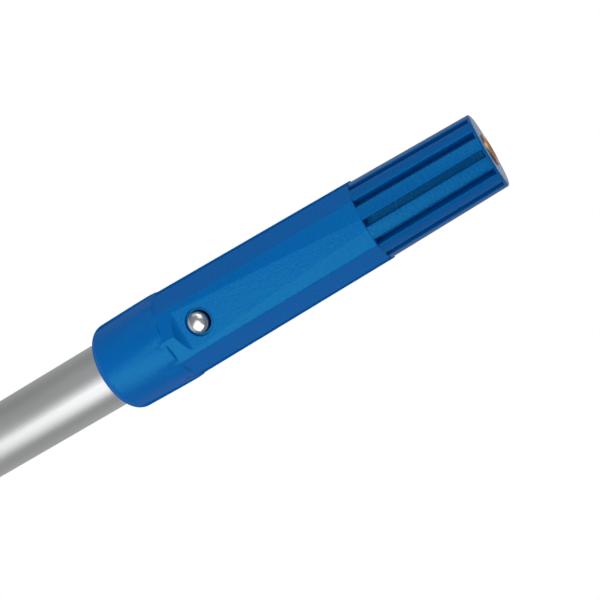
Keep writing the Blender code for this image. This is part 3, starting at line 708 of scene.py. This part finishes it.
low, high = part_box("inner_tube")
inner_tube_outline = (
    (INNER_TUBE_RADIUS, low.z, BURR_EDGE),
    (INNER_TUBE_RADIUS, high.z, BURR_EDGE),
    (INNER_TUBE_BORE, high.z, BURR_EDGE),
    (INNER_TUBE_BORE, low.z, BURR_EDGE),
)
inner_tube = turned("inner_tube_blank", softened(inner_tube_outline), hollow=True)
pin_drill = drill("pin_drill", PIN_HOLE, -DRILL_REACH, DRILL_REACH, "Y", low.z + PIN_HOLE_CLIMB)
inner_tube = cut("inner_tube_pinned", inner_tube, pin_drill)
button_punch = drill("button_punch", TUBE_BUTTON_HOLE, DRILL_START, DRILL_REACH, "X", BUTTON_HEIGHT)
inner_tube = cut("inner_tube_mesh", inner_tube, button_punch)
fit("inner_tube_dressed", inner_tube, satin_anodised_aluminium, "inner_section", ["inner_tube"])


# Tool cone.  One blue moulding, pushed over the inner tube: a round collar, an eleven-sided middle that
# narrows upwards, with a flat round the button, and a ribbed taper that a tool's socket is pushed over.
# The button's hole has a ledge part way down, close round the button.  Heights are from the collar's back.
CONE_BACK = 0.6152
SOCKET_BORE = 0.0113
SOCKET_DEPTH = 0.061
HOLLOW_CORE = 0.0076
COLLAR_BACK = 0.015
COLLAR_FRONT = 0.01516
COLLAR_LENGTH = 0.0252
COLLAR_ROUND = 0.0035
STEP_TOP = 0.0257
STEP_START = 0.0232
STEP_LEAN = 0.00018
STEP_DROP = 0.0009
STEP_EDGE = 0.00022
STEP_BLEND = 0.0003
EASE_START = 0.017
EASE_SPREAD = math.radians(11)
EASE_DEPTH = 0.0003
FACETS = 11
HALF_FACET = math.pi / FACETS
FACETED_END = 0.0966
FIRST_CORNER = 0.01502
LAST_CORNER = 0.01347
CORNER_ROUND = 0.0018
FLAT_DISTANCE = 0.0129
FLAT_START = 0.0308
FLAT_BEND = 0.001
FLAT_EDGE = 0.00012
FLAT_REACH = 0.8
SHOULDER_EDGE = 0.00025
BUTTON_HOLE_PLACE = 0.0377
BUTTON_HOLE = 0.0044
BUTTON_HOLE_START = 0.004
BUTTON_LEDGE_BORE = 0.0036
BUTTON_LEDGE = 0.0121
BUTTON_HOLE_EDGE = 0.00025
CROWN_START = 0.01284


def higher(one, other, blend):
    """The larger of two lengths, with the crease between them rounded over the blend."""
    return max(one, other) + max(blend - abs(one - other), 0.0) ** 2 / (4 * blend)


def lower_of(one, other, blend):
    """The smaller of two lengths, with the edge between them rounded over the blend."""
    return min(one, other) - max(blend - abs(one - other), 0.0) ** 2 / (4 * blend)


def corner_reach(climb):
    """Distance of the facets' sharp corners from the axis, at a height above the collar's back."""
    return FIRST_CORNER + (LAST_CORNER - FIRST_CORNER) * (climb - STEP_TOP) / (FACETED_END - STEP_TOP)


def corner_spread(climb):
    """Half the angle over which a rounded corner runs."""
    centre = corner_reach(climb) - CORNER_ROUND / math.cos(HALF_FACET)
    return math.atan2(CORNER_ROUND * math.sin(HALF_FACET), centre + CORNER_ROUND * math.cos(HALF_FACET))


def from_corner(angle):
    """Angle between a direction and the nearest corner."""
    return abs(angle - 2 * HALF_FACET * round(angle / (2 * HALF_FACET)))


def faceted_radius(angle, climb):
    """Radius of the eleven-sided body with rounded corners."""
    corner = corner_reach(climb)
    away = from_corner(angle)
    if away < corner_spread(climb):
        centre = corner - CORNER_ROUND / math.cos(HALF_FACET)
        return centre * math.cos(away) + math.sqrt(CORNER_ROUND**2 - (centre * math.sin(away)) ** 2)
    return corner * math.cos(HALF_FACET) / math.cos(HALF_FACET - away)


def corner_ease(angle, climb):
    """How far the collar sinks below the step, so that it runs into the facets' corners without an edge."""
    near = eased(1 - from_corner(angle) / EASE_SPREAD)
    return EASE_DEPTH * near * eased((climb - EASE_START) / (STEP_START - EASE_START))


def flat_reach(climb):
    """Distance of the flat, and of the sloping wall below it, from the axis."""
    return FLAT_DISTANCE + higher(FLAT_START - climb, 0.0, FLAT_BEND)


def flat_edge(climb):
    """Angle at which the flat, or the wall below it, meets the facet beside it."""
    reach = flat_reach(climb)
    half_width = (corner_reach(climb) - reach) * math.cos(HALF_FACET) / math.sin(HALF_FACET)
    return math.atan2(max(half_width, 0.0004), reach)


def body_angles(climb):
    """Angles round the body, close together where the flat's edges and the corners are."""
    edge = flat_edge(climb)
    near = min(math.radians(2.5), 0.45 * edge)
    wide = corner_spread(climb) + math.radians(0.5)
    stops = [(0.0, 6), (edge - near, 6), (edge + near, 10)]
    for corner in range(1, FACETS // 2 + 1):
        stops += [(2 * corner * HALF_FACET - wide, 6), (2 * corner * HALF_FACET + wide, 12)]
    stops.append((math.pi, 0))
    angles = []
    for (start, steps), (end, _) in zip(stops, stops[1:]):
        angles += [start + (end - start) * step / steps for step in range(steps)]
    return angles + [math.pi] + [-angle for angle in reversed(angles[1:])]


def body_ring(climb, collar, inset=0.0):
    """One ring round the body: the larger of the collar and the facets, cut by the flat."""
    points = []
    for angle in body_angles(climb):
        reach = collar - corner_ease(angle, climb)
        if climb >= STEP_START:
            reach = higher(reach, faceted_radius(angle, climb), STEP_BLEND)
        if abs(angle) < FLAT_REACH:
            reach = lower_of(reach, flat_reach(climb) / math.cos(angle), FLAT_EDGE)
        if climb > FACETED_END - 0.001:
            reach = max(reach - inset, CROWN_START - 0.00001)
        points.append(direction(angle) * reach + at_height(CONE_BACK + climb))
    return points


def plain_ring(climb, radius):
    """One round ring with its points at the body's angles."""
    return [direction(angle) * radius + at_height(CONE_BACK + climb) for angle in body_angles(climb)]


body_rings = [plain_ring(0.0003, SOCKET_BORE), plain_ring(0.0, SOCKET_BORE + 0.0002)]
for cosine, sine in arc(12)[1:]:
    body_rings.append(body_ring(COLLAR_ROUND * (1 - cosine), COLLAR_BACK - COLLAR_ROUND * (1 - sine)))
collar_outline = softened(
    (
        (COLLAR_BACK, COLLAR_ROUND, 0),
        (COLLAR_FRONT, EASE_START, 0),
        (COLLAR_FRONT, STEP_START, 0.0012),
        (COLLAR_FRONT - STEP_LEAN, COLLAR_LENGTH, STEP_EDGE),
        (COLLAR_FRONT - STEP_DROP, STEP_TOP, 0),
    )
)
for radius, climb in collar_outline[1:-1]:
    body_rings.append(body_ring(climb, radius))
for step in range(1, 6):
    radius, climb = collar_outline[-2].lerp(collar_outline[-1], step / 5)
    body_rings.append(body_ring(climb, radius))
climbs = [STEP_TOP + rise for rise in (0.0002, 0.0005, 0.001, 0.0018, 0.0025)]
climbs += [FLAT_START - 0.0022 + 0.00013 * step for step in range(26)]
climbs += [0.0325, 0.0335] + [0.035 + 0.0034 * step for step in range(18)]
climbs += [FACETED_END - drop for drop in (0.0018, 0.001, 0.0005)]
for climb in climbs:
    body_rings.append(body_ring(climb, 0.0))
for cosine, sine in arc(5):
    inset = SHOULDER_EDGE * (1 - cosine)
    body_rings.append(body_ring(FACETED_END - SHOULDER_EDGE * (1 - sine), 0.0, inset))
body_rings += [
    plain_ring(FACETED_END, CROWN_START - 0.0004),
    plain_ring(FACETED_END, HOLLOW_CORE),
    plain_ring(SOCKET_DEPTH, HOLLOW_CORE),
    plain_ring(SOCKET_DEPTH, SOCKET_BORE),
]
hole_outline = [
    (BUTTON_LEDGE_BORE, BUTTON_HOLE_START),
    (BUTTON_LEDGE_BORE, BUTTON_LEDGE),
    (BUTTON_HOLE, BUTTON_LEDGE),
    (BUTTON_HOLE, FLAT_DISTANCE - 2 * BUTTON_HOLE_EDGE),
]
for cosine, sine in arc(5, math.radians(75)):
    radius = BUTTON_HOLE + BUTTON_HOLE_EDGE * (1 - cosine)
    hole_outline.append((radius, FLAT_DISTANCE - BUTTON_HOLE_EDGE * (1 - sine)))
hole_outline.append((BUTTON_HOLE + 0.0007, FLAT_DISTANCE + 0.0006))
hole_knife = turned("button_hole_knife", hole_outline)
hole_knife.transform(Matrix.Rotation(QUARTER_TURN, 4, "X"))
hole_knife.transform(Matrix.Translation((0, 0, CONE_BACK + BUTTON_HOLE_PLACE)))
cone_body = cut("cone_body_mesh", loft("cone_body_blank", body_rings, hollow=True), hole_knife)
fit("tool_cone_body", cone_body, grained_blue_plastic, "inner_section", ["tool_cone"], 32)


# Ribbed taper of the cone.  Twelve ribs between parallel grooves bite into the tool's plastic socket.  The
# mould's edges leave the ribs slightly rounded, and the grooves stop short of a round-edged tip.
CROWN_END = 0.0118
RIBS_FOOT = 0.096
TIP = 0.1365
TIP_RIM = 0.0005
TIP_ROUND = 0.0008
GROOVES = 12
GROOVE_HALF_WIDTH = 0.00113
GROOVE_DEPTH = 0.0032
GROOVE_FADE = (
    (0.0016, 1.0),
    (0.0012, 0.98),
    (0.0009, 0.93),
    (0.0006, 0.82),
    (0.00035, 0.66),
    (0.00015, 0.44),
    (0.00004, 0.24),
    (0.0, 0.1),
    (-0.00005, 0.02),
)
CROWN_EDGE = 0.00025
FLOOR_EDGE = 0.0003
POCKET = 0.0051


def crown_radius(climb):
    """Radius over the ribs at a height above the collar's back."""
    return CROWN_START + (CROWN_END - CROWN_START) * (climb - FACETED_END) / (TIP - FACETED_END)


def rib_ring(climb, crown, depth):
    """One ring round the ribs, with grooves of the given depth."""
    edge = min(CROWN_EDGE, depth / 2)
    toe = min(FLOOR_EDGE, depth / 3)
    floor = crown - depth
    side = [(0.0, floor), ((GROOVE_HALF_WIDTH - toe) / 2, floor)]
    side += [(GROOVE_HALF_WIDTH - toe * (1 - sine), floor + toe * (1 - cosine)) for cosine, sine in arc(3)]
    side += [(GROOVE_HALF_WIDTH + edge * (1 - cosine), crown - edge * (1 - sine)) for cosine, sine in arc(4)]
    spots = [(math.asin(across / reach), reach) for across, reach in side]
    last = spots[-1][0]
    half_period = math.pi / GROOVES
    spots += [(last + (half_period - last) * share, crown) for share in (0.1, 0.4, 0.7, 1.0)]
    whole = [(-angle, reach) for angle, reach in reversed(spots[1:-1])] + spots
    points = []
    for groove in range(GROOVES):
        for angle, reach in whole:
            way_out = direction(groove * 2 * half_period + angle)
            points.append(way_out * reach + at_height(CONE_BACK + climb))
    return points


rib_spread = [Vector((point.x, point.y, 0)) for point in rib_ring(0.0, CROWN_END, 0.00002)]


def round_rib_ring(climb, radius):
    """One round ring with its points spread as the ribs' points are."""
    return [point.normalized() * radius + at_height(CONE_BACK + climb) for point in rib_spread]


ribs = [(climb, 1.0) for climb in (RIBS_FOOT, 0.1, 0.11, 0.12, 0.13)]
ribs += [(TIP - TIP_RIM - before_end, share) for before_end, share in GROOVE_FADE]
rib_rings = [rib_ring(climb, crown_radius(climb), GROOVE_DEPTH * share) for climb, share in ribs]
for cosine, sine in arc(8):
    rib_rings.append(round_rib_ring(TIP - TIP_ROUND * (1 - sine), CROWN_END - TIP_ROUND * (1 - cosine)))
rib_rings += [
    round_rib_ring(TIP, POCKET + 0.0005),
    round_rib_ring(TIP, POCKET + 0.0002),
    round_rib_ring(TIP - 0.00006, POCKET + 0.00006),
    round_rib_ring(TIP - 0.0002, POCKET),
    round_rib_ring(TIP - 0.006, POCKET),
    round_rib_ring(RIBS_FOOT, HOLLOW_CORE),
]
cone_ribs = loft("cone_ribs_mesh", rib_rings, hollow=True)
# The ribs take the darker blue, which is painted shade for the light falling off towards the tip.
fit("tool_cone_ribs", cone_ribs, ribs_painted_shade_blue_plastic, "inner_section", sharp=50)


# Threaded insert.  Free-cutting brass, turned and tapped M8, moulded into the cone's tip so that its face
# stands a little proud.  It keeps fine turning lines, and handling has stained it in patches.
INSERT_RADIUS = 0.0048
INSERT_TAPPED = 0.004
INSERT_CORE = 0.0034
INSERT_MOUTH = 0.0041
INSERT_THROAT = 0.0035
INSERT_PITCH = 0.00125
INSERT_CHAMFER = 0.0006
TURNING_LINES = 42000.0

# Turned brass: a pale yellow metal with coppery stains 1.4 mm across.  Its turning lines, 0.15 mm apart, and
# the dull film of the stains blur what it mirrors.
turned_brass, tree, out = start_material("turned_brass")
place = add(tree, "ShaderNodeTexCoord", {})
spot = add(tree, "ShaderNodeSeparateXYZ", {"Vector": place.outputs["Object"]})
level = add(tree, "ShaderNodeCombineXYZ", {"X": spot.outputs[0], "Y": spot.outputs[1]})
from_axis = add(tree, "ShaderNodeVectorMath", {0: level.outputs[0]}, operation="LENGTH")
feed = add(tree, "ShaderNodeMath", {0: from_axis.outputs["Value"], 1: TURNING_LINES}, operation="MULTIPLY")
passes = add(tree, "ShaderNodeMath", {0: feed.outputs[0]}, operation="SINE")
stain = add(tree, "ShaderNodeTexNoise", {"Vector": place.outputs["Object"], "Scale": 700.0, "Detail": 5.0})
tone = add(
    tree,
    "ShaderNodeMix",
    {"Factor": stain.outputs[0], "A": linear("#eeddb6"), "B": linear("#f0a074")},
    data_type="RGBA",
)
gloss = add(tree, "ShaderNodeMapRange", {"Value": stain.outputs[0], "To Min": 0.28, "To Max": 0.45})
relief = add(tree, "ShaderNodeBump", {"Height": passes.outputs[0], "Strength": 0.15, "Distance": 0.00001})
brass = add(
    tree,
    "ShaderNodeBsdfPrincipled",
    {
        "Base Color": tone.outputs["Result"],
        "Metallic": 1.0,
        "Roughness": gloss.outputs[0],
        "Normal": relief.outputs[0],
    },
)
tree.links.new(brass.outputs[0], out.inputs[0])

low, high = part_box("thread_insert")
insert_outline = softened(
    (
        (INSERT_TAPPED, low.z, 0),
        (INSERT_RADIUS, low.z, 0.0003),
        (INSERT_RADIUS, high.z, 0.0003),
        (INSERT_MOUTH, high.z, 0.00012),
        (INSERT_THROAT, high.z - INSERT_CHAMFER, 0),
        (INSERT_TAPPED, high.z - INSERT_CHAMFER - 0.0004, 0),
    )
)
thread_insert = turned("thread_insert_mesh", insert_outline, hollow=True)
fit("thread_insert_dressed", thread_insert, turned_brass, "inner_section", ["thread_insert"])
insert_thread = thread_ridge(
    "insert_thread_mesh",
    root=INSERT_TAPPED + 0.00005,
    crest=INSERT_CORE,
    start=low.z + 0.0008,
    pitch=INSERT_PITCH,
    turns=14.5,
    root_width=0.0011,
    crest_width=0.0002,
    sides=48,
)
fit("thread_insert_thread", insert_thread, turned_brass, "inner_section")


low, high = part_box("button_spring")
spring_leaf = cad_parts["button_spring"].data.copy()
spring_leaf.materials.clear()
leaf = fit(
    "button_spring_dressed", spring_leaf, zinc_plated_steel, "inner_section", ["button_spring"]
)
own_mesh(leaf)


# Snap button.  Turned steel with a domed head, polished and chromed, on a flange and a tail painted
# near-black, as painted shade for the dark gap round the button.
# The spring pushes it out through the tube and the cone, and a thumb pushes it in to free the cone.
BUTTON_RADIUS = 0.0034
BUTTON_CENTRE = 0.0005
BUTTON_TOP = 0.0148
BUTTON_DOME = 0.0016
BUTTON_DOME_FULLNESS = 0.9
BUTTON_HEAD_FOOT = 0.0118
BUTTON_FLANGE = 0.0046
BUTTON_FLANGE_TOP = 0.00846
BUTTON_FLANGE_FOOT = 0.00756
TAIL_RADIUS = 0.0012
TAIL_HEAD = 0.002
TAIL_HEAD_TOP = 0.00636
TAIL_END = 0.00556

# Chrome plating: a bright bluish metal with a mirror surface, a little duller where fine scratches have
# rubbed it, in patches of 0.6 mm.
polished_chrome, tree, out = start_material("polished_chrome")
place = add(tree, "ShaderNodeTexCoord", {})
wear = add(tree, "ShaderNodeTexNoise", {"Vector": place.outputs["Object"], "Scale": 1800.0, "Detail": 4.0})
gloss = add(tree, "ShaderNodeMapRange", {"Value": wear.outputs[0], "To Min": 0.16, "To Max": 0.26})
chrome = add(
    tree,
    "ShaderNodeBsdfPrincipled",
    {"Base Color": linear("#e6e8ea"), "Metallic": 1.0, "Roughness": gloss.outputs[0]},
)
tree.links.new(chrome.outputs[0], out.inputs[0])

# Painted shade: the button's flange and tail are a near-black steel with a soft gloss, standing for the
# shade in the gap round the button inside its hole.
painted_shade_steel, tree, out = start_material("painted_shade_steel")
grease = add(tree, "ShaderNodeBsdfPrincipled", {"Base Color": linear("#191c20"), "Roughness": 0.4})
tree.links.new(grease.outputs[0], out.inputs[0])


def turned_forward(name, outline):
    """A turned body on the button's own axis, which points to the button's side of the pole."""
    mesh = turned(name, outline)
    mesh.transform(Matrix.Rotation(QUARTER_TURN, 4, "X"))
    mesh.transform(Matrix.Translation((0, 0, BUTTON_HEIGHT)))
    return mesh


head_outline = [
    (BUTTON_CENTRE, BUTTON_HEAD_FOOT),
    (BUTTON_RADIUS, BUTTON_HEAD_FOOT),
    (BUTTON_RADIUS, BUTTON_TOP - BUTTON_DOME - 0.0001),
]
for cosine, sine in arc(20)[:-1]:
    radius = BUTTON_RADIUS * cosine**BUTTON_DOME_FULLNESS
    head_outline.append((radius, BUTTON_TOP - BUTTON_DOME * (1 - sine)))
lock_button = turned_forward("lock_button_mesh", head_outline)
fit("lock_button_dressed", lock_button, polished_chrome, "lock_button", ["lock_button"])
foot_outline = (
    (TAIL_HEAD, TAIL_END),
    (TAIL_HEAD, TAIL_HEAD_TOP),
    (TAIL_RADIUS, TAIL_HEAD_TOP),
    (TAIL_RADIUS, BUTTON_FLANGE_FOOT),
    (BUTTON_FLANGE, BUTTON_FLANGE_FOOT),
    (BUTTON_FLANGE, BUTTON_FLANGE_TOP),
    (BUTTON_RADIUS, BUTTON_FLANGE_TOP),
    (BUTTON_RADIUS, BUTTON_HEAD_FOOT),
)
button_foot = turned_forward("lock_button_foot_mesh", foot_outline)
# The flange and tail take the near-black painted shade of the gap round the button.
fit("lock_button_foot", button_foot, painted_shade_steel, "lock_button")


# Studio floor.  A round pale table under the pole, which keeps the pole's soft shadow.  Its rim fades into
# the white surroundings, and what lifts it to white is seen by the camera only and lights nothing.
FLOOR_RADIUS = 0.7
FLOOR_LEVEL = -0.0002
FADE_START = 0.22
FADE_END = 0.62
FLOOR_LIFT = 0.3

pale_floor, tree, out = start_material("pale_floor")
place = add(tree, "ShaderNodeTexCoord", {})
from_pole = add(tree, "ShaderNodeVectorMath", {0: place.outputs["Object"]}, operation="LENGTH")
fading = add(
    tree,
    "ShaderNodeMapRange",
    {"Value": from_pole.outputs["Value"], "From Min": FADE_START, "From Max": FADE_END},
    interpolation_type="SMOOTHSTEP",
)
paint = add(tree, "ShaderNodeBsdfDiffuse", {"Color": linear("#efefef")})
rays = add(tree, "ShaderNodeLightPath", {})
lift = add(tree, "ShaderNodeMath", {0: rays.outputs["Is Camera Ray"], 1: FLOOR_LIFT}, operation="MULTIPLY")
glow = add(tree, "ShaderNodeEmission", {"Color": linear("#ffffff"), "Strength": lift.outputs[0]})
lit = add(tree, "ShaderNodeAddShader", {0: paint.outputs[0], 1: glow.outputs[0]})
clear = add(tree, "ShaderNodeBsdfTransparent", {})
floor_mix = add(tree, "ShaderNodeMixShader", {0: fading.outputs[0], 1: lit.outputs[0], 2: clear.outputs[0]})
tree.links.new(floor_mix.outputs[0], out.inputs[0])

shape = bmesh.new()
bmesh.ops.create_circle(shape, cap_ends=True, segments=96, radius=FLOOR_RADIUS)
floor_mesh = bpy.data.meshes.new("studio_floor_mesh")
shape.to_mesh(floor_mesh)
shape.free()
floor_mesh.materials.append(pale_floor)
floor = bpy.data.objects.new("studio_floor", floor_mesh)
floor.location.z = FLOOR_LEVEL
bpy.context.scene.collection.objects.link(floor)


# Studio surroundings.  They are plain white where the camera sees them.  Metal and gloss see the middle of
# the white backdrop behind the pole, a grey band round it, pale walls, and a darker room round the camera.
BACKDROP_SIDE = (0.1, 0.99, 0.1)
ROOM_TONES = (
    (0.0, "#8c8c8c"),
    (0.35, "#5e5e5e"),
    (0.6, "#8e8e8e"),
    (0.85, "#b6b6b6"),
    (0.93, "#b2b2b2"),
    (0.97, "#808080"),
    (0.997, "#ffffff"),
)

world = bpy.data.worlds.new("studio")
world.use_nodes = True
tree = world.node_tree
tree.nodes.clear()
out = tree.nodes.new("ShaderNodeOutputWorld")
place = add(tree, "ShaderNodeTexCoord", {})
sight = {0: place.outputs["Generated"], 1: BACKDROP_SIDE}
facing = add(tree, "ShaderNodeVectorMath", sight, operation="DOT_PRODUCT")
share = add(tree, "ShaderNodeMapRange", {"Value": facing.outputs["Value"], "From Min": -1.0, "From Max": 1.0})
room = add(tree, "ShaderNodeValToRGB", {"Fac": share.outputs[0]})
first_stop, last_stop = room.color_ramp.elements
first_stop.position, last_stop.position = ROOM_TONES[0][0], ROOM_TONES[-1][0]
first_stop.color, last_stop.color = linear(ROOM_TONES[0][1]), linear(ROOM_TONES[-1][1])
for place_on_ramp, tint in ROOM_TONES[1:-1]:
    room.color_ramp.elements.new(place_on_ramp).color = linear(tint)
rays = add(tree, "ShaderNodeLightPath", {})
mirror_rays = {0: rays.outputs["Is Glossy Ray"], 1: rays.outputs["Is Transmission Ray"]}
mirrored = add(tree, "ShaderNodeMath", mirror_rays)
soft_light = add(tree, "ShaderNodeBackground", {"Color": linear("#ffffff"), "Strength": 0.5})
seen_in_gloss = add(tree, "ShaderNodeBackground", {"Color": room.outputs[0], "Strength": 1.0})
seen = add(tree, "ShaderNodeBackground", {"Color": linear("#ffffff"), "Strength": 1.0})
unseen = {0: mirrored.outputs[0], 1: soft_light.outputs[0], 2: seen_in_gloss.outputs[0]}
by_gloss = add(tree, "ShaderNodeMixShader", unseen)
either = {0: rays.outputs["Is Camera Ray"], 1: by_gloss.outputs[0], 2: seen.outputs[0]}
by_camera = add(tree, "ShaderNodeMixShader", either)
tree.links.new(by_camera.outputs[0], out.inputs[0])
bpy.context.scene.world = world


# Lamps.  A soft box stands in front of the pole, a little to its right, a weaker one far to its left, and a
# third hangs between them, above the cone.


def soft_box(name, azimuth, distance, height, aim_height, width, tall, lean, radiance):
    """A rectangular lamp that faces the pole; azimuth 0 is the button's side and 90 is +X."""
    lamp = bpy.data.lights.new(name, "AREA")
    lamp.shape = "RECTANGLE"
    lamp.size = width
    lamp.size_y = tall
    lamp.energy = radiance * math.pi * width * tall
    made = bpy.data.objects.new(name, lamp)
    made.location = direction(math.radians(azimuth)) * distance + Vector((0, 0, height))
    aim = Vector((0, 0, aim_height)) - made.location
    facing_pole = aim.to_track_quat("-Z", "Y")
    made.rotation_euler = (facing_pole @ Quaternion((0, 0, 1), math.radians(lean))).to_euler()
    made.visible_camera = False
    bpy.context.scene.collection.objects.link(made)


soft_box(
    "key_soft_box",
    azimuth=25,
    distance=0.5,
    height=0.43,
    aim_height=0.43,
    width=0.5,
    tall=0.48,
    lean=25,
    radiance=1.75,
)
soft_box(
    "fill_soft_box",
    azimuth=-60,
    distance=1.4,
    height=0.6,
    aim_height=0.6,
    width=0.8,
    tall=1.0,
    lean=0,
    radiance=0.4,
)
soft_box(
    "high_soft_box",
    azimuth=-36,
    distance=0.6,
    height=0.87,
    aim_height=0.67,
    width=0.45,
    tall=0.36,
    lean=0,
    radiance=1.2,
)


# Camera.  It looks at the tool cone from a little above, with the pole leaning to the right in the picture.
CAMERA_LENS = 65.72
CAMERA_TILT = math.radians(16.75)
CAMERA_ROLL = math.radians(30.11)
CAMERA_TURN = math.radians(-2.0)
CAMERA_DISTANCE = 0.3537
AIM_OFF_CENTRE = (-0.05871, -0.02245)

sin_roll, cos_roll = math.sin(CAMERA_ROLL), math.cos(CAMERA_ROLL)
sin_tilt, cos_tilt = math.sin(CAMERA_TILT), math.cos(CAMERA_TILT)
right = Vector((sin_roll, sin_tilt * cos_roll, cos_tilt * cos_roll))
up = Vector((-cos_roll, sin_tilt * sin_roll, cos_tilt * sin_roll))
back = Vector((0, -cos_tilt, sin_tilt))
eye = Vector((0, 0, CONE_BACK)) - right * AIM_OFF_CENTRE[0] - up * AIM_OFF_CENTRE[1] + back * CAMERA_DISTANCE
stand = Matrix((right, up, back)).transposed().to_4x4()
stand.translation = eye
camera_data = bpy.data.cameras.new("camera")
camera_data.sensor_width = 36
camera_data.lens = CAMERA_LENS
camera_data.clip_start = 0.01
camera = bpy.data.objects.new("camera", camera_data)
bpy.context.scene.collection.objects.link(camera)
camera.matrix_world = Matrix.Rotation(CAMERA_TURN, 4, "Z") @ stand
bpy.context.scene.camera = camera
bpy.context.scene.view_settings.view_transform = "Standard"
